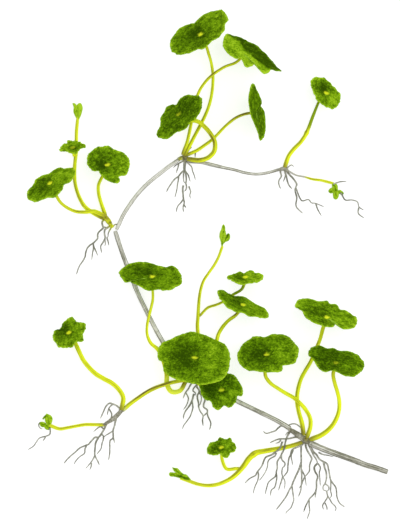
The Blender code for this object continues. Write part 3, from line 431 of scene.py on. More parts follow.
# Where leaf stalks leave a crown its skin is olive brown, or yellow where their sheaths wrap
# it: the place, how far this reaches and its strength
CROWN_STAINS = {
    "crown_1": {"olive": [((306.5, 438.6), 0.0015, 1.2)]},
    "crown_3": {
        "yellow": [((104, 216), 0.002, 1.4), ((108.4, 221), 0.002, 1.4), ((112, 227), 0.0016, 1.3)],
        "olive": [((107, 217.6), 0.0009, 0.9), ((110.6, 222.4), 0.0007, 0.7)],
    },
    "crown_4": {"olive": [((184.4, 156.4), 0.0017, 0.9)], "yellow": [((180.4, 158.4), 0.001, 1)]},
}
CROWN_ROOTS = {
    "crown_1": {
        "main": [
            [(289, 429.5), (282.4, 425.8), (278.6, 427.7), (275.9, 430.7), (270.9, 432.3),
             (266.3, 433.4), (263.3, 431.1)],
            [(293.6, 431.6), (291.6, 430.4), (288.1, 434.9), (286.2, 439.5), (285.1, 444.1),
             (284.3, 448.7), (282, 454.1), (280.5, 457.1), (277.4, 461.7), (277.4, 467.9),
             (276.4, 472.4), (277, 477.8), (275.9, 483.2), (274.4, 487.8), (271.7, 490),
             (270.2, 496.2)],
            [(299, 437), (295, 437.2), (290.1, 438.4), (284.7, 438.8), (280.5, 438.8),
             (277, 439.5), (272.8, 441.5), (269.8, 443)],
            [(282.4, 441.8), (280.9, 445.7), (279.3, 449.1), (275.9, 451.8), (272.4, 454.5),
             (266.7, 456.8), (264.8, 458.7), (262.5, 464.8), (259.8, 468.6), (257.1, 472.4),
             (255.6, 475.5), (251, 477.8), (248, 480.1), (244.5, 483.5)],
            [(305, 441), (301.9, 445.3), (297.7, 447.2), (292.3, 449.9), (290.8, 454.8),
             (288.9, 458.7), (288.1, 464.8), (287.8, 470.9), (285.5, 474.4), (283.5, 477)],
            [(303, 440), (301.4, 447.2), (301.4, 457.1), (301.5, 463.3), (301.8, 470.9),
             (301.8, 478.6), (301.8, 484.7), (300.8, 490.8), (298.5, 496.9)],
            [(301.4, 462.3), (299.2, 469.4), (296.2, 475.5), (293.9, 480.9), (292.3, 485.5),
             (289.3, 490), (286.2, 496.9), (281.6, 503.1), (276.3, 509.9)],
            [(305.6, 441.5), (305.9, 445.3), (307.3, 450.3), (309.9, 454.8), (311.9, 458.7),
             (310.7, 462.5), (309.6, 466.3), (309.6, 470.9), (306.9, 474.7), (305, 477)],
            [(308, 442.6), (309.9, 447.2), (311.5, 451), (313.8, 455.6), (316.1, 458.7),
             (318, 463.3)],
            [(317.6, 463.4), (314.5, 467.1), (315.3, 471.7), (317.6, 476.3), (316.8, 481.6),
             (316.8, 487.8), (315.3, 492.3), (312.2, 496.2), (309.2, 499.2), (306.1, 506.1),
             (303.8, 512.2)],
            [(309.5, 444.5), (313.4, 451.8), (316.8, 454.8), (319.9, 459.4), (323.7, 461.7),
             (327.5, 464), (328.7, 469.4), (329.8, 474), (330.6, 479.3), (332.5, 482.4),
             (336, 487), (336.7, 491.6), (337.1, 496.9), (339.8, 503.1), (345, 507.3)],
            [(323.6, 461.8), (324.9, 467.5), (326.4, 472.4), (326.8, 478.6), (325.3, 483.2),
             (323.3, 486.2), (323.7, 490), (326.8, 490.8)],
        ],
        "fine": [
            [(281.6, 455.6), (282, 459.8), (285.1, 463.3), (284.3, 466.7), (282.8, 467.9),
             (282, 474), (283.5, 477.8), (285.1, 481.6), (284.7, 489.3)],
            [(282.8, 477), (280.5, 483.9), (278.6, 490.8)],
            [(291.6, 430.7), (287.4, 432.7), (285.1, 435.7)],
            [(276.2, 474), (275.1, 477), (270.9, 480.1), (267.9, 483.2), (266.7, 488.5),
             (265.6, 494.6)],
            [(280.9, 439.9), (279, 442.2), (275.5, 443.4)],
            [(257.9, 470.9), (258.7, 475.5), (257.5, 480.9), (255.2, 486.2), (253.3, 493.9)],
            [(276.3, 453.3), (275.1, 456), (270.2, 458.7), (267.9, 461.7), (267.7, 466.7),
             (265.6, 471.7), (262.5, 477), (258.7, 480.9)],
            [(293.5, 450), (291.6, 454.8), (291.6, 458.7), (292.3, 462.5), (292.5, 465.6)],
            [(292.3, 486.2), (292.7, 491.6), (293.5, 496.2), (293.9, 500), (292.7, 503.8),
             (291.2, 508), (286.6, 512.2), (285.8, 514.5)],
            [(301.8, 469.5), (305, 476.3), (305.7, 480.9), (306.5, 486.2)],
            [(301.5, 485.5), (299.2, 488.5)],
            [(305, 477), (303.1, 480.9), (302.3, 485.5)],
            [(318.2, 463.4), (320.7, 467.9), (319.5, 472.4), (319.9, 478.6), (320.5, 486.2)],
            [(316.1, 491), (315.3, 498.5)],
            [(309.2, 499.2), (309.6, 506.1), (309.6, 512.2), (307.3, 519.5)],
            [(325.3, 483.9), (328.3, 486.2), (329.1, 489.3), (326.8, 491.6)],
            [(326.8, 490.8), (327.9, 496.2), (329.8, 499.2), (332.1, 503.1), (335.2, 506.1),
             (336.3, 508.8), (334.8, 511.5)],
            [(327.9, 497), (325.3, 501.5), (322.6, 505.7), (323.7, 509.9)],
            [(325.3, 503), (327.2, 507.7), (327.2, 510.7)],
            [(331, 480), (331, 490), (331.8, 495.4), (329.8, 498.5)],
            [(286, 428.6), (290, 424.6), (296, 424), (301, 428), (303, 432), (304, 436)],
            [(318.6, 452.4), (323, 454.6), (328, 455.4), (334, 457)],
        ],
    },
    "crown_2": {
        "main": [
            [(194.5, 379.6), (190.7, 384.5), (187.8, 389.5), (185.3, 392.8), (182.9, 398.6)],
            [(197, 380), (196.9, 384.5), (194, 387.9), (192.8, 390.8), (195.3, 392.8),
             (194.9, 395.7)],
            [(194.4, 394), (193.2, 395.3), (192.6, 399), (190.7, 403.6), (188.2, 407.3),
             (185.3, 411.5), (183.7, 415.6), (183.3, 418.9)],
            [(196.9, 383), (196.9, 386.6), (199, 390.3), (198.6, 393.2), (197.4, 394.9),
             (197.4, 398.2), (198.4, 403.2), (198.6, 407.3), (200.3, 411.5), (202.8, 415.2),
             (202.8, 418.1), (201.9, 421.4)],
            [(199, 391), (202, 394.5), (204.6, 397.5), (205.2, 400.3), (204, 404), (204, 407.3),
             (207.3, 409.8), (207.3, 414), (209, 418.5), (210.8, 423.1), (210.2, 427.2),
             (209, 430)],
        ],
        "fine": [
            [(185.6, 392.6), (188.2, 396.6), (188.7, 399.5), (186.6, 404.9), (183.1, 409.8)],
            [(192, 400.5), (192.6, 406.5), (192, 411.5), (190.3, 416.5), (187.4, 420.6),
             (184.1, 424.8), (182, 429.3)],
            [(198.8, 392), (200.7, 394.9), (201.5, 399), (200.3, 404), (199, 405.7)],
            [(207.2, 412.8), (204.8, 414.8), (202.8, 416.9)],
            [(202.4, 420), (202.8, 423.1), (203.2, 426.4)],
        ],
    },
    "crown_3": {
        "main": [
            [(106, 219), (102.3, 221.2), (102.8, 225.8), (104, 227), (101.5, 229.5),
             (99, 231.6), (97.4, 234.5), (97.4, 238.2), (95.7, 240.3), (93.2, 242.8),
             (89.9, 244.9), (87, 248.2), (85.3, 252.7), (84.9, 256.5), (83.3, 259.8),
             (80, 264.8), (77.9, 269.3), (76.2, 274.3)],
            [(109.4, 226), (106.4, 228), (104.8, 229.9), (104.4, 233.7), (104.8, 237.4),
             (103.2, 241.1), (101.1, 244.9), (100.7, 247.3), (101.5, 252.7)],
        ],
        "fine": [
            [(103.6, 226.8), (106.1, 227.2), (108.1, 228.3)],
            [(93.2, 243), (93.2, 248.2), (92.4, 254), (91.4, 259.8)],
            [(93.4, 245), (93.8, 246.9), (95.7, 250.7), (97.8, 255.6)],
            [(111, 227.6), (109.4, 230.3), (108.1, 233.2), (107.7, 236.6), (106.1, 237.4)],
            [(107.2, 236.9), (106.9, 238.2), (108.1, 241.5), (109, 245.7)],
            [(104.5, 238.6), (105.2, 243.6), (104.4, 246.1)],
            [(112.6, 226.6), (113.5, 225.5), (115, 224), (117, 224.5), (117.6, 226)],
        ],
    },
    "crown_4": {
        "main": [
            [(183.4, 158.6), (184.5, 160.4), (183.9, 165.4), (184, 170), (182.5, 171),
             (180.4, 173.2), (178.6, 175.7), (174.9, 178.6), (172.4, 181.5), (169.9, 184.8),
             (167.8, 188.6), (166.6, 191.7)],
            [(185, 158.6), (185.6, 162), (185, 166), (185.2, 171.2), (186, 174.9), (186.4, 179),
             (185.8, 183.2), (186.8, 186.5), (185.8, 189.8), (183.9, 191.1)],
            [(183.6, 185), (182.8, 186.5), (182.5, 189.8), (183.2, 194.8), (183.6, 199.3),
             (184.4, 201.8), (184, 203.9), (186.3, 207.6)],
        ],
        "fine": [
            [(178.6, 176.2), (178.2, 180.3), (177.6, 184.4), (176.9, 188.6), (175.9, 193.1),
             (174.7, 197.1)],
            [(184, 170), (183.5, 172.8), (183.5, 178.2), (183.9, 181.5), (185.8, 183.6)],
            [(185.2, 170.6), (186.6, 172.4), (188.5, 174.9), (189.5, 178.2), (190.3, 181.5)],
            [(185, 158.8), (188.3, 162.9), (191.4, 166.2), (192.4, 170.3), (194.5, 175.7),
             (195.3, 179.9)],
            [(189, 185.8), (189.4, 187.3), (190.8, 191), (189.8, 194.8), (190.8, 198.3)],
            [(183.4, 199), (180.3, 202.7), (178.2, 205.1), (176.9, 208), (176.3, 211.8)],
            [(184, 203.6), (183.2, 206.8), (183.6, 211.8)],
            [(183.6, 160.4), (178.2, 163.3), (175.6, 165), (173.2, 167.6)],
            [(178.6, 164), (177.8, 167.8), (176.5, 171.1), (177.2, 173)],
            [(195.4, 152.5), (195.2, 155), (195.2, 157.5)],
            [(191.4, 146.6), (190, 148.2), (188.7, 149.2)],
        ],
    },
    "crown_5": {
        "main": [
            [(282, 169), (280.4, 171), (281.3, 175.7), (278.8, 181), (280.7, 188.6)],
            [(284.8, 169.6), (286, 175), (288.7, 184.3), (292.2, 188.6)],
            [(286, 169.6), (289.6, 174.3), (293, 177.5), (295.8, 181.5), (297, 184.3),
             (295.6, 189.6), (296.8, 197.2), (296.3, 205.8), (299, 209.5), (303, 213)],
        ],
        "fine": [
            [(285.6, 172), (286, 173), (284.6, 177.5), (283.6, 181.5)],
            [(296, 188), (297.5, 190.5), (299.7, 197.2), (302.5, 200.6), (308.7, 199.1),
             (311.6, 202.5), (315.9, 203), (324.5, 206.6)],
            [(315.9, 203), (317.8, 208.7), (321.9, 215.9)],
            [(286.4, 168.2), (289, 166), (292, 164.5), (294, 166.5)],
        ],
    },
    "crown_6": {
        "main": [
            [(119.5, 411), (119.5, 408.4), (116, 405.3), (112.9, 404.2), (109, 403.2),
             (105.5, 407), (103.4, 411.9), (100.2, 418.6)],
            [(107, 423), (106.2, 424.6), (102, 432.3), (98.5, 437.2), (95, 437.2),
             (91.5, 440.7), (88.7, 444.2), (85.9, 445.2), (80.2, 447.7), (75.3, 451.9),
             (71.1, 455.4), (66.9, 459.6), (63.8, 463.8)],
            [(98.5, 437.2), (96, 442.1), (95.3, 447.7), (94.6, 454), (95.7, 457.5),
             (97.8, 461), (99.2, 465.2)],
            [(115.6, 417), (116, 418.2), (114.6, 425.3), (113.2, 430.9), (112.9, 437.9),
             (109.7, 440.7), (109.7, 447.7), (108.7, 460.3)],
        ],
        "fine": [
            [(112.5, 404.2), (108.7, 408.1), (107.2, 415.4)],
            [(108.4, 408.6), (109, 409.1), (111.5, 414), (110.4, 418.9), (107.6, 422.4)],
            [(86.6, 445), (84.8, 449.1), (84.4, 453.3), (79.5, 456.8), (76, 461), (73.9, 464.5)],
            [(94.8, 455.6), (91.5, 461.7), (88, 465.9), (85.2, 468.7)],
            [(101.3, 433.6), (103.4, 437.2), (102, 443.5), (100.6, 449.1), (96.4, 454.7)],
            [(90.6, 462.8), (91.5, 464.5), (89.4, 470.2)],
            [(113.2, 437.2), (114.6, 443.5)],
            [(113, 430.9), (106.2, 435.1), (102, 437.9)],
            [(103, 428.6), (99.9, 426.7), (92.9, 431.9)],
        ],
    },
}
ROOT_HUMPS = [((284.7, 446.6), 0.0026), ((280, 448), 0.0026)]


def root_line(route, thickness, from_crown):
    """A root: it drops from its crown, lies on the surface, and passes over a runner."""
    points = [(spot(place), thickness[0]) for place in route]
    line, along = smoothed(points, ROOT_STEP)
    shaped = []
    for (middle, _), length in zip(line, along):
        share = length / along[-1]
        radius = thickness[0] + (thickness[1] - thickness[0]) * share
        radius *= 1 + 0.16 * noise.noise((middle.x * 700, middle.y * 700, 5.0))
        radius *= min(1.0, 0.25 + (along[-1] - length) / 0.0012)
        sway = noise.noise((middle.x * 260, middle.y * 260, 9.0)) * 0.00025
        middle.z = radius * 0.9
        if from_crown:
            drop = max(0.0, 1 - length / ROOT_DROP)
            middle.z += (CROWN_HEIGHT - middle.z) * drop * drop
        middle.x += sway * min(1.0, length / 0.002)
        for place, lift in ROOT_HUMPS:
            away = (middle.xy - spot(place).xy).length / 0.0055
            if away < 1:
                middle.z += max(0.0, lift - middle.z) * (0.5 + 0.5 * math.cos(math.pi * away))
        shaped.append((middle, radius))
    return shaped


def covered(places, spots):
    """How strongly round spots cover each corner: each a place, its reach and its strength."""
    total = np.zeros(len(places))
    for place, reach, strength in spots:
        away = np.linalg.norm(places[:, :2] - np.array(spot(place))[:2], axis=1)
        total += np.exp(-((away / reach) ** 2)) * strength
    return np.clip(total, 0, 1)


start, shader, root_finish = new_finish("grey root", Roughness=0.9)
shader.inputs["Specular IOR Level"].default_value = 0.0
places = start.node("TexCoord", None, None, "Object")
soil = start.node("TexNoise", None, {"Vector": places, "Scale": 900.0, "Detail": 3.0})
clumps = start.node("TexNoise", None, {"Vector": places, "Scale": 160.0, "Detail": 2.0})
stain = start.node("Attribute", {"attribute_name": "stem"}, output="Fac")
root_colour = (soil * 0.5 + clumps * 0.5).ramp(
    (0.36, tone(104, 105, 92)),
    (0.50, tone(140, 141, 128)),
    (0.64, tone(180, 180, 168)),
)
crown_colour = (soil * 0.6 + clumps * 0.4).ramp(
    (0.36, tone(104, 102, 84)),
    (0.50, tone(146, 144, 128)),
    (0.62, tone(182, 180, 166)),
)
skin = stain.mixed(root_colour, crown_colour)
for stain, dark, light in (
    ("yellow", tone(150, 152, 36), tone(214, 222, 50)),
    ("olive", tone(84, 78, 30), tone(138, 130, 58)),
):
    amount = start.node("Attribute", {"attribute_name": stain}, output="Fac")
    skin = amount.mixed(skin, soil.ramp((0.38, dark), (0.62, light)))
feed(shader, "Base Color", skin)
bumps = start.node("Bump", None, {"Strength": 0.5, "Distance": 0.0001, "Height": soil})
feed(shader, "Normal", bumps)

for crown, (route, thickness) in CROWN_STEMS.items():
    middles = [spot(place, CROWN_HEIGHT) for place in route]
    last = len(route) - 1
    stretch = [
        (middle, thickness[0] + (thickness[1] - thickness[0]) * number / last)
        for number, middle in enumerate(middles)
    ]
    stem_line, stem_along = smoothed(stretch, 0.0004)
    bulge = np.sin(np.pi * stem_along / stem_along[-1])
    stem_line = [
        (m, r * (0.8 + 0.38 * b + 0.16 * noise.noise((m.x * 900, m.y * 900, 1.0))))
        for (m, r), b in zip(stem_line, bulge)
    ]
    lines = [stem_line]
    for kind, routes in CROWN_ROOTS[crown].items():
        for route in routes:
            start_point = spot(route[0])
            near = min((start_point - middle).xy.length for middle in middles)
            lines.append(root_line(route, ROOT_THICKNESS[kind], near < 0.003))
    piece = tube_mesh(crown + "_with_roots", lines, 3)
    places = corners(piece)
    middles = np.array([middle for middle, _ in stem_line])
    away = np.linalg.norm(places[:, None, :] - middles[None, :, :], axis=2).min(axis=1)
    mark(piece, "stem", np.clip(1.6 - away / 0.0018, 0, 1))
    for kind, spots in CROWN_STAINS.get(crown, {}).items():
        mark(piece, kind, covered(places, spots))
    piece.data.materials.append(root_finish)
    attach(piece, "root")
    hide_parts(crown)


# Runners and shoots
# Young stems that grow from a crown and end in a bud. They are smooth, painted yellow on the
# side towards the light and painted olive brown as shade on the other side and along the flanks.
STEM_SIDES = 6
RUNNER_STARTS = {
    "runner_1": (299.4, 443.2),
    "runner_5_tip": (288.7, 170.5),
    "runner_6": (188.6, 379.6),
    "runner_6_tip": (102.4, 424.8),
    "shoot_2": (193.6, 370.8),
    "shoot_3": (99.6, 216),
}
# How much thicker than its solid a stem is, where it isn't as on most
STEM_THICKER = {
    "petiole_2_left": 0.98, "petiole_3_right": 1.0, "petiole_4_left": 1.04, "petiole_5": 0.95,
    "shoot_3": 1.02, "runner_6": 1.16, "runner_6_tip": 1.14, "shoot_2": 1.14,
}
# Swollen joints on the young stems: the place, how far the swelling reaches, and its share
STEM_JOINTS = {
    "petiole_5": [((306.7, 132.5), 0.0009, 0.30)],
    "shoot_3": [((81.2, 206), 0.0009, 0.35)],
    "runner_1": [((253.5, 454), 0.0012, 0.15)],
}
# How far each young stem runs on into its crown and into its bud
RUNNER_REACH = {
    "runner_1": (0.0016, 0.005),
    "runner_5_tip": (0.0016, 0.0022),
    "runner_6": (0.0016, 0.0012),
    "runner_6_tip": (0.0020, 0.0012),
    "shoot_2": (0.0016, 0.0014),
    "shoot_3": (0.0024, 0.0022),
}
# Weathered and green stretches of the stems, and painted shade where two stalks cross: the place, the
# reach and the strength
STEM_STAINS = {
    "petiole_1_left": {"brown": [((268, 377), 0.0034, 0.75), ((277, 386), 0.004, 0.5)]},
    "petiole_1_middle": {"brown": [((318, 344), 0.003, 0.5), ((305, 430), 0.003, 0.6)]},
    "petiole_1_right": {"brown": [((332, 375), 0.003, 0.9), ((335, 387), 0.004, 0.6)]},
    "petiole_2_left": {
        "brown": [((184, 383), 0.002, 0.5)],
        "bright": [((169, 381), 0.003, 0.9), ((174, 390), 0.003, 1.0), ((178, 391), 0.002, 0.7)],
    },
    "petiole_2_right": {
        "brown": [((237, 312.5), 0.0028, 0.9)],
        "green": [((226, 322), 0.006, 0.5)],
    },
    "petiole_2_shoot": {"green": [((238, 288), 0.005, 0.9), ((230, 294), 0.003, 0.6)]},
    "petiole_3_left": {
        "brown": [((58, 197), 0.003, 1.0), ((65, 204), 0.004, 0.9), ((79, 211), 0.005, 0.55)],
    },
    "petiole_3_right": {"brown": [((101, 180), 0.003, 0.35), ((107, 218), 0.003, 0.7)]},
    # The brown spots near (212, 73) on these two stalks, where they cross, are painted shade between
    # them; their other brown spots are weathering.
    "petiole_4_top": {"brown": [((208, 52), 0.004, 0.75), ((212, 72), 0.004, 0.5)]},
    "petiole_4_folded": {"brown": [((232, 62), 0.006, 0.45), ((212, 74), 0.004, 0.6)]},
    "petiole_4_left": {
        "brown": [((205, 124), 0.006, 0.7), ((214, 140), 0.006, 0.8), ((196, 157), 0.004, 0.9)],
    },
    "petiole_4_right": {"brown": [((244, 114), 0.004, 0.85), ((234, 119), 0.005, 0.6)]},
    "petiole_5": {
        "brown": [((306.6, 131), 0.0009, 0.5)],
        "green": [((316, 107), 0.006, 0.9), ((311, 120), 0.005, 0.8)],
    },
    "runner_1": {"brown": [((290, 445), 0.004, 0.4)]},
    "runner_5_tip": {"grey": [((292, 173), 0.005, 1.0), ((300, 176), 0.0028, 0.9)]},
    "runner_6": {
        "brown": [((180, 382), 0.006, 0.7), ((160, 385), 0.008, 0.6), ((140, 395), 0.007, 0.6)],
        "grey": [((119, 413), 0.004, 0.9)],
    },
    "runner_6_tip": {"brown": [((104, 424), 0.003, 0.7)], "grey": [((108, 422), 0.003, 0.8)]},
    "shoot_3": {"brown": [((81, 206), 0.001, 0.7), ((103, 220), 0.003, 0.5)]},
}


def fleshy_finish(name, near_crown, bright, shaded, near_leaf):
    """A smooth stem: painted bright on its lit side, painted shade on the other side and along its
    flanks, and duller at its ends.
    """
    start, shader, made = new_finish(name, Roughness=0.6)
    shader.inputs["Specular IOR Level"].default_value = 0.0
    fibres = lengthwise(start, 2600, 110)
    share = start.node("Attribute", {"attribute_name": "share"}, output="Fac")
    # Painted shade on the side that faces up and towards the upper left, painted light on the side
    # away from it.
    painted_shade_side = side_light(start, (-0.42, 0.32, 0.85)) + (fibres - 0.5) * 1.3
    line = painted_shade_side.spread(0.60, 1.04)
    skin = line.mixed(bright, shaded)
    # Painted shade along the flanks, where the skin turns away from above.
    rim = side_light(start, (0.0, 0.0, 1.0)) + (fibres - 0.5) * 0.6
    skin = (rim.spread(0.50, 0.15) * 0.35).mixed(skin, shaded)
    skin = (share.spread(0.70, 1.0) * 0.5).mixed(skin, near_leaf)
    skin = (share.spread(0.10, 0.0) * 0.85).mixed(skin, near_crown)
    for stain, colour in (
        ("bright", tone(230, 240, 74)),
        ("green", tone(132, 156, 26)),
        ("brown", tone(112, 98, 44)),
        ("grey", tone(176, 175, 162)),
    ):
        stain_and_painted_shade = start.node("Attribute", {"attribute_name": stain}, output="Fac")
        stain_and_painted_shade = (stain_and_painted_shade * 1.3 + (fibres - 0.5) * stain_and_painted_shade * 2.4).spread(0.1, 1.15)
        # Brown weathering, laid on mostly along the painted shaded side of the stem.
        if stain == "brown":
            stain_and_painted_shade = stain_and_painted_shade * (line * 0.75 + 0.25)
        skin = stain_and_painted_shade.mixed(skin, colour)
    feed(shader, "Base Color", skin)
    raised = start.node("Bump", None, {"Strength": 0.3, "Distance": 0.0001, "Height": fibres})
    feed(shader, "Normal", raised)
    return made


def young_stem(solid, start_place, finish, into):
    """A stem with its swollen joints and its stains."""

    def swell(length, whole):
        uneven = noise.noise((length * 260, whole * 900, 4.0))
        return STEM_THICKER.get(solid, 1.09) * (1 + 0.06 * uneven)

    joints = STEM_JOINTS.get(solid, ())
    piece = stem_piece(solid, STEM_SIDES, start_place, swell, into=into, joints=joints)
    for kind, spots in STEM_STAINS.get(solid, {}).items():
        mark(piece, kind, covered(corners(piece), spots))
    piece.data.materials.append(finish)


runner_finish = fleshy_finish(
    "yellow runner", tone(130, 122, 54), tone(224, 234, 42), tone(156, 156, 38), tone(204, 216, 44)
)
for solid, start_place in RUNNER_STARTS.items():
    young_stem(solid, start_place, runner_finish, RUNNER_REACH[solid])


# Leaf stalks
# One stalk to each leaf, from the crown along the surface and up to the underside of the
# blade, thick and bright at its foot and thinner and greener where it meets the leaf.
STALK_STARTS = {
    "petiole_1_left": (307.6, 435.6),
    "petiole_1_middle": (303.4, 432),
    "petiole_1_right": (313, 438.6),
    "petiole_2_left": (184.8, 383),
    "petiole_2_middle": (196.2, 373),
    "petiole_2_low": (199.8, 384.6),
    "petiole_2_right": (203.4, 373),
    "petiole_2_shoot": (200.9, 314.3),
    "petiole_3_left": (102.4, 214.4),
    "petiole_3_shoot": (74.2, 154.6),
    "petiole_3_right": (104.4, 212.4),
    "petiole_4_top": (185.2, 153.6),
    "petiole_4_folded": (183.6, 151.2),
    "petiole_4_left": (190.4, 159),
    "petiole_4_right": (189.2, 153.6),
    "petiole_5": (285.8, 164),
    "petiole_6": (121.8, 407.2),
    "petiole_runner": (236, 468.6),
}

stalk_finish = fleshy_finish(
    "yellow stalk", tone(138, 132, 50), tone(226, 236, 42), tone(164, 168, 36), tone(182, 192, 40)
)
for solid, start_place in STALK_STARTS.items():
    young_stem(solid, start_place, stalk_finish, (0.0018, 0.0007))


# Leaves
# Eighteen round blades with shallow scalloped lobes, each held near its middle by the stalk
# below, with a bright spot there, and veins that run from the spot to the rim.
BLADE_SPOKES = 216
BLADE_RINGS = 15
BLADE_THICKNESS = 0.00032
BLADE_SOLID_THICKNESS = 0.0005
FUNNEL_DEPTH = 0.0011
SCALLOP_LENGTH = 0.0030
SCALLOP_DEPTH = 0.00034
LEAF_TILTS = {
    "leaf_1_left": (0, 51), "leaf_1_middle": (-20, 66), "leaf_1_right": (-13, 64),
    "leaf_2_left": (-3, 62), "leaf_2_middle": (0, 45), "leaf_2_low": (-14, 33),
    "leaf_2_right": (-25.6, 75), "leaf_2_shoot": (-3, 70), "leaf_3_left": (32, 65),
    "leaf_3_shoot": (8, 62), "leaf_3_right": (-6, 40), "leaf_4_top": (33, 60),
    "leaf_4_folded": (-29, 62), "leaf_4_left": (43.5, 58), "leaf_4_right": (-81.3, 76),
    "leaf_5": (-51, 48), "leaf_6": (25, 37), "leaf_runner": (10, 49),
}
# How bright the spot over the stalk is, where it isn't as bright as on most leaves
HUB_SPOTS = {
    "leaf_1_right": 0.4, "leaf_4_left": 0.45, "leaf_4_folded": 0.0, "leaf_4_right": 0.0,
    "leaf_3_shoot": 0.4,
}
# The folded leaf's crease, in the picture: the blade rises in a ridge along it, and past it the blade
# is painted dark as shade
LEAF_CREASE = [
    (220, 34), (225.8, 35.8), (234.3, 39.4), (238.8, 42.5), (241.4, 47.9), (244.1, 52.3),
    (250.4, 55), (254.4, 60.4), (257.5, 63.9), (263.8, 66.6), (268.2, 71.1), (282, 77),
]
# For each leaf: how light it is as a whole, then its patches of painted shade, mostly on the
# left of the hub, and of painted light, each as the place of its middle from the hub, its
# length, its width, its bearing and its strength
LEAF_SHADES = {
    "leaf_1_left": (0.50, [((-7, 0), 15, 11, 0, -0.34), ((14, 4), 12, 8, 0, 0.12)]),
    "leaf_1_middle": (0.48, [((-8, 5), 12, 6, -20, -0.22), ((12, -5), 12, 6, -20, 0.06)]),
    "leaf_1_right": (0.37, [((-4, 3), 14, 8, -13, -0.15), ((14, -4), 9, 7, -13, 0.08)]),
    "leaf_2_left": (0.43, [((-7, 3), 12, 7, 0, -0.20), ((14, -2), 12, 8, 0, 0.06)]),
    "leaf_2_middle": (0.50, [((-8, 1), 15, 13, 0, -0.40), ((14, 4), 16, 12, 0, 0.12)]),
    "leaf_2_low": (0.48, [((-7, 3), 12, 10, 0, -0.36), ((8, -4), 10, 8, 0, 0.12)]),
    "leaf_2_right": (0.54, [((-6, 3), 9, 5, -26, -0.22), ((12, -4), 10, 5, -26, 0.06)]),
    "leaf_2_shoot": (0.72, [((-6, 0), 7, 4, 0, -0.46)]),
    "leaf_3_left": (0.50, [((-7, -3), 10, 6, 32, -0.26), ((12, 7), 9, 6, 32, 0.08)]),
    "leaf_3_shoot": (0.66, [((3, 1), 6, 4, 8, -0.26)]),
    "leaf_3_right": (0.47, [((-4, 1), 10, 9, 0, -0.30), ((9, 4), 9, 8, 0, 0.10)]),
    "leaf_4_top": (0.46, [((-5, 1), 12, 9, 33, -0.32), ((14, 10), 10, 8, 33, 0.10)]),
    "leaf_4_folded": (0.56, []),
    "leaf_4_left": (0.39, [((6, 3), 16, 9, 43, -0.16)]),
    "leaf_4_right": (0.39, [((0, -4), 16, 5, -80, -0.12)]),
    "leaf_5": (0.57, [((-3, 4), 9, 7, -50, -0.36), ((5, -6), 7, 5, -50, 0.14)]),
    "leaf_6": (0.52, [((-4, 1), 8, 7, 25, -0.34), ((6, 2), 7, 6, 25, 0.12)]),
    "leaf_runner": (0.62, [((-4, 0), 7, 5, 10, -0.30)]),
}


def new_blade_pattern(spokes, rings):
    """A flat disc of rings and spokes, one metre in radius, that every blade is shaped from."""
    bpy.ops.object.select_all(action="DESELECT")
    bpy.ops.mesh.primitive_circle_add(vertices=spokes, radius=1.0, fill_type="NGON")
    disc = bpy.context.object
    bpy.ops.object.mode_set(mode="EDIT")
    bpy.ops.mesh.select_mode(type="FACE")
    bpy.ops.mesh.select_all(action="SELECT")
    for ring in range(rings - 1):
        bpy.ops.mesh.inset(thickness=1.0 / rings, depth=0)
    bpy.ops.mesh.poke()
    bpy.ops.object.mode_set(mode="OBJECT")
    return disc


def top_of_blade(solid, normal):
    """The hub and the rim, in order, of the upper side of a leaf's solid."""
    shape = bare_mesh(solid)
    places = [v.co.copy() for v in shape.verts]
    lower = []
    for corner in shape.verts:
        above = corner.co + normal * BLADE_SOLID_THICKNESS
        if min((place - above).length for place in places) < BLADE_SOLID_THICKNESS / 10:
            lower.append(corner)
    bmesh.ops.delete(shape, geom=lower, context="VERTS")
    hub = max(shape.verts, key=lambda v: len(v.link_edges)).co.copy()
    corner = next(v for v in shape.verts if any(e.is_boundary for e in v.link_edges))
    rim = []
    came_by = None
    while corner not in rim:
        rim.append(corner)
        came_by = next(e for e in corner.link_edges if e.is_boundary and e is not came_by)
        corner = came_by.other_vert(corner)
    rim = [v.co.copy() for v in rim]
    shape.free()
    return hub, rim


def around_rim(rim, count):
    """Points on a smooth closed curve through the rim, evenly spaced along it."""
    rows = [np.array(point) for point in rim]
    fine = []
    for number in range(len(rows)):
        before, start, end, after = (rows[(number + k) % len(rows)] for k in (-1, 0, 1, 2))
        for part in range(24):
            t = part / 24
            bend = (2 * before - 5 * start + 4 * end - after) * t**2
            turn = (3 * start - before - 3 * end + after) * t**3
            fine.append(0.5 * (2 * start + (end - before) * t + bend + turn))
    fine = np.array([*fine, fine[0]])
    along = np.concatenate([[0.0], np.cumsum(np.linalg.norm(np.diff(fine, axis=0), axis=1))])
    wanted = np.linspace(0, along[-1], count + 1)[:-1]
    spaced = np.stack([np.interp(wanted, along, column) for column in fine.T], axis=1)
    return spaced, along[-1]


def patch(offset, middle, length, width, bearing):
    """How strongly a soft oval patch covers each place, from 0 to 1."""
    turn = math.radians(bearing)
    away = offset - np.array(middle)
    along = away[:, 0] * math.cos(turn) + away[:, 1] * math.sin(turn)
    across = away[:, 1] * math.cos(turn) - away[:, 0] * math.sin(turn)
    return np.exp(-((along / length) ** 2) - (across / width) ** 2)


start, shader, leaf_finish = new_finish("leaf green", Roughness=0.7)
shader.inputs["Specular IOR Level"].default_value = 0.0
places = start.node("TexCoord", None, None, "Object")
mottle = start.node(
    "TexNoise", None, {"Vector": places, "Scale": 760.0, "Detail": 3.0, "Roughness": 0.7}
)
grain = start.node("TexNoise", None, {"Vector": places, "Scale": 1900.0, "Detail": 2.0})
clouds = start.node("TexNoise", None, {"Vector": places, "Scale": 230.0, "Detail": 2.0})
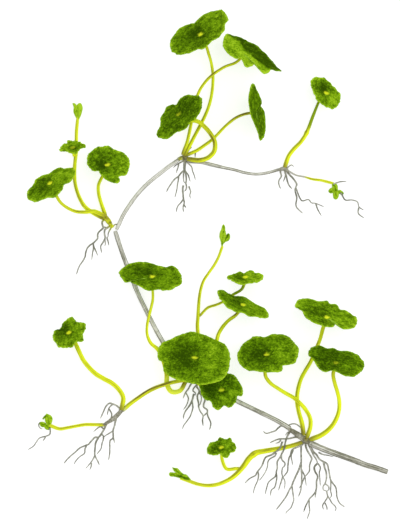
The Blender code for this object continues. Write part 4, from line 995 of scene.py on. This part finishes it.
# lightness: each leaf's own tone, with the painted shade and painted light of its patches.
base = start.node("Attribute", {"attribute_name": "lightness"}, output="Fac")
vein = start.node("Attribute", {"attribute_name": "vein"}, output="Fac")
centre = start.node("Attribute", {"attribute_name": "centre"}, output="Fac")
value = base + (mottle - 0.5) * 1.5 + (grain - 0.5) * 1.0 + (clouds - 0.5) * 0.9 + vein * 0.08
green = value.ramp(
    (0.0, tone(46, 72, 3)),
    (0.22, tone(62, 92, 5)),
    (0.42, tone(84, 119, 8)),
    (0.60, tone(106, 146, 12)),
    (0.80, tone(134, 172, 22)),
    (1.0, tone(160, 196, 40)),
)
feed(shader, "Base Color", centre.mixed(green, tone(216, 228, 42)))
relief = mottle * 0.6 - vein * 0.8
raised = start.node("Bump", None, {"Strength": 0.45, "Distance": 0.00015, "Height": relief})
feed(shader, "Normal", raised)

start, shader, underside_finish = new_finish("leaf underside", Roughness=0.7)
shader.inputs["Specular IOR Level"].default_value = 0.0
places = start.node("TexCoord", None, None, "Object")
mottle = start.node(
    "TexNoise", None, {"Vector": places, "Scale": 1100.0, "Detail": 3.0, "Roughness": 0.65}
)
vein = start.node("Attribute", {"attribute_name": "vein"}, output="Fac")
pale = (mottle + vein * 0.15).ramp(
    (0.30, tone(104, 146, 30)), (0.50, tone(136, 176, 44)), (0.70, tone(162, 198, 66))
)
feed(shader, "Base Color", pale)

def shares_and_spokes(disc, spokes):
    """For each corner of the flat disc: how far out it lies, and the number of its spoke."""
    share = np.linalg.norm(disc[:, :2], axis=1)
    number = np.arctan2(disc[:, 1], disc[:, 0]) / (2 * math.pi) * spokes
    return share, np.rint(number).astype(int) % spokes


def given_thickness(blade, upward, thickness):
    """Face a thin blade's upper side this way, then give it a thickness and an underside."""
    bpy.ops.object.select_all(action="DESELECT")
    blade.select_set(True)
    bpy.context.view_layer.objects.active = blade
    bpy.ops.object.mode_set(mode="EDIT")
    bpy.ops.mesh.select_all(action="SELECT")
    bpy.ops.mesh.normals_make_consistent(inside=False)
    bpy.ops.object.mode_set(mode="OBJECT")
    if Vector(blade.data.polygons[0].normal).dot(upward) < 0:
        blade.data.flip_normals()
    thick = blade.modifiers.new("Thickness", "SOLIDIFY")
    thick.thickness = thickness
    thick.offset = -1
    thick.material_offset = 1
    bpy.ops.object.modifier_apply(modifier=thick.name)
    bpy.ops.object.shade_smooth_by_angle(angle=math.radians(60))


blade_pattern = new_blade_pattern(BLADE_SPOKES, BLADE_RINGS)
crease = np.array(LEAF_CREASE)
for solid, (bearing, tilt) in LEAF_TILTS.items():
    turn, lean = math.radians(bearing), math.radians(tilt)
    rising = Vector((-math.sin(turn), math.cos(turn), 0))
    normal = rising * math.sin(lean) + Vector((0, 0, math.cos(lean)))
    hub, rim = top_of_blade(solid, normal)
    plane_hub = hub + normal * FUNNEL_DEPTH
    level = np.array((math.cos(turn), math.sin(turn), 0.0))
    upward = np.cross(np.array(normal), level)
    rim_points, rim_length = around_rim(rim, BLADE_SPOKES)
    flat = rim_points - np.array(plane_hub)
    if np.cross(flat[0], flat[BLADE_SPOKES // 8]) @ np.array(normal) < 0:
        flat = flat[::-1]
    scallops = round(rim_length / SCALLOP_LENGTH)
    spoke = np.arange(BLADE_SPOKES) / BLADE_SPOKES
    circle = [(math.cos(2 * math.pi * turned), math.sin(2 * math.pi * turned)) for turned in spoke]
    blade = blade_pattern.copy()
    blade.data = blade_pattern.data.copy()
    blade.name = solid + "_blade"
    bpy.context.scene.collection.objects.link(blade)
    share, number = shares_and_spokes(corners(blade), BLADE_SPOKES)
    phase = math.pi * spoke * scallops
    sway = np.array([noise.noise((x * 2.5, y * 2.5, len(rim))) for x, y in circle])
    uneven = np.array([noise.noise((x * 7, y * 7, tilt)) for x, y in circle])
    ragged = np.array([noise.noise((x * 26, y * 26, tilt)) for x, y in circle])
    scallop = np.abs(np.sin(phase + sway * 5)) ** 0.7 * (0.75 + uneven) - 0.55 + ragged * 0.45
    scallop *= SCALLOP_DEPTH
    outward = flat / np.linalg.norm(flat, axis=1)[:, None]
    reach = share[:, None] * flat[number] + outward[number] * (scallop[number] * share**9)[:, None]
    funnel = -FUNNEL_DEPTH * np.exp(-((share / 0.2) ** 2))
    ruffle = 0.00035 * np.sin(spoke * 2 * math.pi * 5 + sway * 4)[number] * share**3
    veins = 9 + len(rim) % 3
    vein_place = (spoke * veins + 0.15 * sway) % 1.0 - 0.5
    vein_width = 0.035 + 0.02 / np.maximum(share, 0.1)
    vein_line = np.exp(-((vein_place[number] / vein_width) ** 2)) * np.clip(1.1 - share, 0, 1)
    raised = funnel + ruffle - 0.00012 * vein_line * (share > 0.08)
    flat_places = (np.array(plane_hub) + reach)[:, :2] / PIXEL * (1, -1) + PLANT_MIDDLE
    past_crease = np.interp(flat_places[:, 0], crease[:, 0], crease[:, 1]) - flat_places[:, 1]
    if solid == "leaf_4_folded":
        raised = 0.5 * funnel + ruffle + 0.0011 * np.exp(-((past_crease / 4.5) ** 2))
    if solid == "leaf_4_right":
        raised = 0.25 * (funnel + ruffle)
    places = np.array(plane_hub) + reach + np.array(normal) * raised[:, None]
    blade.data.vertices.foreach_set("co", places.ravel())
    blade.data.update()
    offset = (places[:, :2] - np.array(plane_hub)[:2]) / PIXEL
    # Each leaf's own tone, with painted shade and painted light laid on in soft patches.
    lightness, patches = LEAF_SHADES[solid]
    shade = np.full(len(places), lightness)
    for middle, length, width, patch_bearing, strength in patches:
        shade += 1.3 * strength * patch(offset, middle, length, width, patch_bearing)
    # The folded leaf: its near lobes lighter, and past the crease painted shade.
    if solid == "leaf_4_folded":
        shade = 0.74 - 0.64 * np.clip(past_crease / 3 + 0.5, 0, 1)
    shade += 0.42 * np.clip((share - 0.86) / 0.14, 0, 1) ** 1.5
    mark(blade, "lightness", shade)
    mark(blade, "vein", vein_line * (share > 0.04))
    bright = patch(offset, (0.3, 0), 2.5, 1.35, 8 + bearing * 0.6) * 2.6 - 0.5
    mark(blade, "centre", np.clip(bright, 0, 1) * HUB_SPOTS.get(solid, 1.0))
    blade.data.materials.append(leaf_finish)
    blade.data.materials.append(underside_finish)
    given_thickness(blade, normal, BLADE_THICKNESS)
    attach(blade, "root")
    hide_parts(solid)
bpy.data.objects.remove(blade_pattern)


# Buds
# Young leaves still folded at the ends of the shoots and runners: small domed lobes with a
# grooved crease, painted dark along it as shade, grown together at the foot. Two of them have
# sent out their first thin roots.
LOBE_SPOKES = 40
LOBE_RINGS = 6
LOBE_THICKNESS = 0.00035
# For each lobe: its outline in the picture, its crease, the height of its rim and of its dome,
# how light it is, and how dark the painted shade along its crease is
BUD_LOBES = {
    "bud_2": [
        ([(223.6, 223.9), (225.2, 226.5), (225.4, 230), (226.3, 234), (225.6, 238), (224, 242),
          (222.6, 246.2), (221.4, 246.2), (220.8, 241.5), (219.4, 237), (219.7, 232.5),
          (221.3, 229), (222.2, 225.5)], ((224, 226), (222, 245)), 1.0, 1.1, 0.86, 0.35),
        ([(228.4, 232.8), (230, 234.5), (230.1, 238), (228.5, 240.5), (225.5, 241.8),
          (223.4, 243.6), (222.6, 241), (225, 237.5), (226.2, 234.8)],
         ((228, 234.5), (224.4, 241)), 0.8, 0.7, 0.80, 0.60),
    ],
    "bud_3": [
        ([(72.2, 102.8), (74.6, 102.7), (77, 105.4), (79, 108.4), (79.4, 115), (78, 120.4),
          (76.4, 118.4), (74.5, 114.9), (73.2, 111.1), (73.4, 106.5)],
         ((76.2, 107), (77.4, 118.4)), 0.9, 0.9, 0.86, 0.40),
        ([(78.1, 103), (80.8, 102.7), (82.4, 106), (82.5, 109), (81, 114.6), (79.4, 118),
          (78.2, 120.4), (76.4, 116), (75.6, 110), (75.9, 106)],
         ((77.4, 106.2), (77.8, 117.4)), 1.1, 1.0, 0.96, 0.35),
    ],
    "bud_5": [
        ([(332.3, 182.8), (335, 182.6), (337.6, 184.6), (338.2, 188), (337.8, 191.4),
          (335.5, 191.9), (333.4, 189.8), (332.2, 186.5)],
         ((333.6, 183.6), (336, 190.4)), 1.1, 0.8, 0.72, 0.55),
        ([(328.4, 191), (329.6, 188.6), (332, 187.2), (334.6, 188.1), (335, 190.8),
          (332.6, 192.8), (330.4, 193)], ((330, 191.4), (334, 189.6)), 0.8, 0.7, 0.74, 0.45),
        ([(333.6, 189.8), (336.5, 189.4), (338.8, 192.2), (339, 195.5), (337.6, 198.6),
          (335.4, 199.2), (333.6, 197.6), (333, 194)],
         ((335.6, 190.4), (336.4, 197.6)), 0.7, 0.9, 0.88, 0.40),
        ([(337.8, 190.6), (340.4, 189.4), (344, 192.6), (342.4, 195), (340.2, 193.8),
          (338.2, 193)], ((338.8, 191.6), (342.4, 193.6)), 0.6, 0.6, 0.84, 0.50),
    ],
    "bud_6": [
        ([(46.2, 413.4), (48.2, 414.2), (50.6, 415.2), (52.3, 418), (52.1, 421.5),
          (50.4, 424.8), (47.2, 424.6), (45, 421.6), (44.6, 418.4), (45.2, 415.6)],
         ((47, 415), (48.6, 423.6)), 1.1, 1.1, 0.90, 0.30),
        ([(45.8, 414.6), (46.8, 416.4), (44.8, 418), (43, 419.6), (42.2, 418.5),
          (43.6, 416.4)], ((46, 415.6), (43, 418.6)), 1.6, 0.4, 0.74, 0.40),
        ([(39.3, 424), (40.4, 421.8), (43, 421.8), (45.6, 423.2), (46.4, 425.4),
          (43.6, 427.1), (41, 426.7)], ((41, 424.4), (45, 424.8)), 0.7, 0.9, 0.88, 0.35),
        ([(44.2, 425.6), (47, 423.8), (50.3, 424.2), (50.9, 427.4), (48.6, 429.9),
          (45.8, 429.5), (44.1, 427.6)], ((46, 425.4), (49.4, 428)), 0.6, 0.8, 0.80, 0.55),
    ],
    "bud_runner": [
        ([(172.2, 466.8), (174, 467.8), (177.6, 468.2), (180.4, 471.2), (184, 474.6),
          (183.6, 477), (179, 475.8), (175.6, 472.8), (173, 469.8)],
         ((174, 468.4), (182, 475.6)), 1.2, 0.8, 0.80, 0.45),
        ([(168.8, 474.2), (170.2, 472.2), (173.6, 472.6), (177, 473.2), (180.2, 475.6),
          (177.4, 477.2), (174, 476.8), (170.4, 476.5)],
         ((170.6, 474.4), (179, 475.6)), 0.9, 0.7, 0.76, 0.40),
        ([(175.4, 474), (179, 472.9), (183, 473.9), (186.6, 474.6), (188.8, 477), (190.8, 479.8),
          (187.4, 480.4), (183, 479.2), (179, 478), (175.8, 476.8)],
         ((177, 475.2), (189, 479.2)), 1.5, 0.9, 0.74, 0.65),
    ],
}
BUD_ROOTS = {
    "bud_5": [
        [(333.6, 183.6), (340, 181.5), (347, 180.9)],
        [(340.6, 192.6), (342, 194), (345.6, 199.6), (352, 199.6), (357.5, 201.5),
         (359, 206.3), (364.2, 210.1)],
        [(359, 207), (359, 213.5), (364.7, 217.8)],
    ],
    "bud_6": [
        [(49.6, 428), (50.1, 430.2), (49.4, 434.4), (45.9, 436.1), (39.6, 437.9), (36, 442.1),
         (33.2, 446.3), (27.3, 449.8)],
        [(45.2, 437.2), (42.7, 441.4)],
        [(40.4, 422.4), (38.7, 423.6), (38.5, 426), (40.2, 428.4), (42.4, 429.1)],
    ],
}

lobe_pattern = new_blade_pattern(LOBE_SPOKES, LOBE_RINGS)
for bud, lobes in BUD_LOBES.items():
    parts = []
    for outline, crease_ends, rim_height, dome, lightness, crease_shade in lobes:
        rim_points, _ = around_rim([spot(place, rim_height / 1000) for place in outline], LOBE_SPOKES)
        middle = rim_points.mean(axis=0)
        lobe = lobe_pattern.copy()
        lobe.data = lobe_pattern.data.copy()
        bpy.context.scene.collection.objects.link(lobe)
        share, number = shares_and_spokes(corners(lobe), LOBE_SPOKES)
        places = middle + share[:, None] * (rim_points[number] - middle)
        from_end, to_end = (np.array(spot(end))[:2] for end in crease_ends)
        run = to_end - from_end
        done = np.clip((places[:, :2] - from_end) @ run / (run @ run), 0, 1)
        away = np.linalg.norm(places[:, :2] - from_end - done[:, None] * run, axis=1)
        crease_line = np.exp(-((away / 0.00045) ** 2))
        domed = dome * (1 - share**2) - crease_line * dome * 0.55
        places[:, 2] += domed / 1000
        lobe.data.vertices.foreach_set("co", places.ravel())
        lobe.data.update()
        # Painted shade along each lobe's crease.
        mark(lobe, "lightness", lightness + 0.1 - 0.8 * crease_shade * crease_line)
        lobe.data.materials.append(leaf_finish)
        lobe.data.materials.append(underside_finish)
        given_thickness(lobe, Vector((0, 0, 1)), LOBE_THICKNESS)
        parts.append(lobe)
    bpy.ops.object.select_all(action="DESELECT")
    for lobe in parts:
        lobe.select_set(True)
    bpy.context.view_layer.objects.active = parts[0]
    bpy.ops.object.join()
    piece = bpy.context.object
    piece.name = bud + "_young_leaves"
    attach(piece, "root")
    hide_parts(bud)
    if bud in BUD_ROOTS:
        thickness = ROOT_THICKNESS["fine"]
        lines = [root_line(route, thickness, number < 2) for number, route in
                 enumerate(BUD_ROOTS[bud])]
        piece = tube_mesh(bud + "_first_roots", lines, 3)
        piece.data.materials.append(root_finish)
        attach(piece, "root")
        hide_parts(bud)
bpy.data.objects.remove(lobe_pattern)
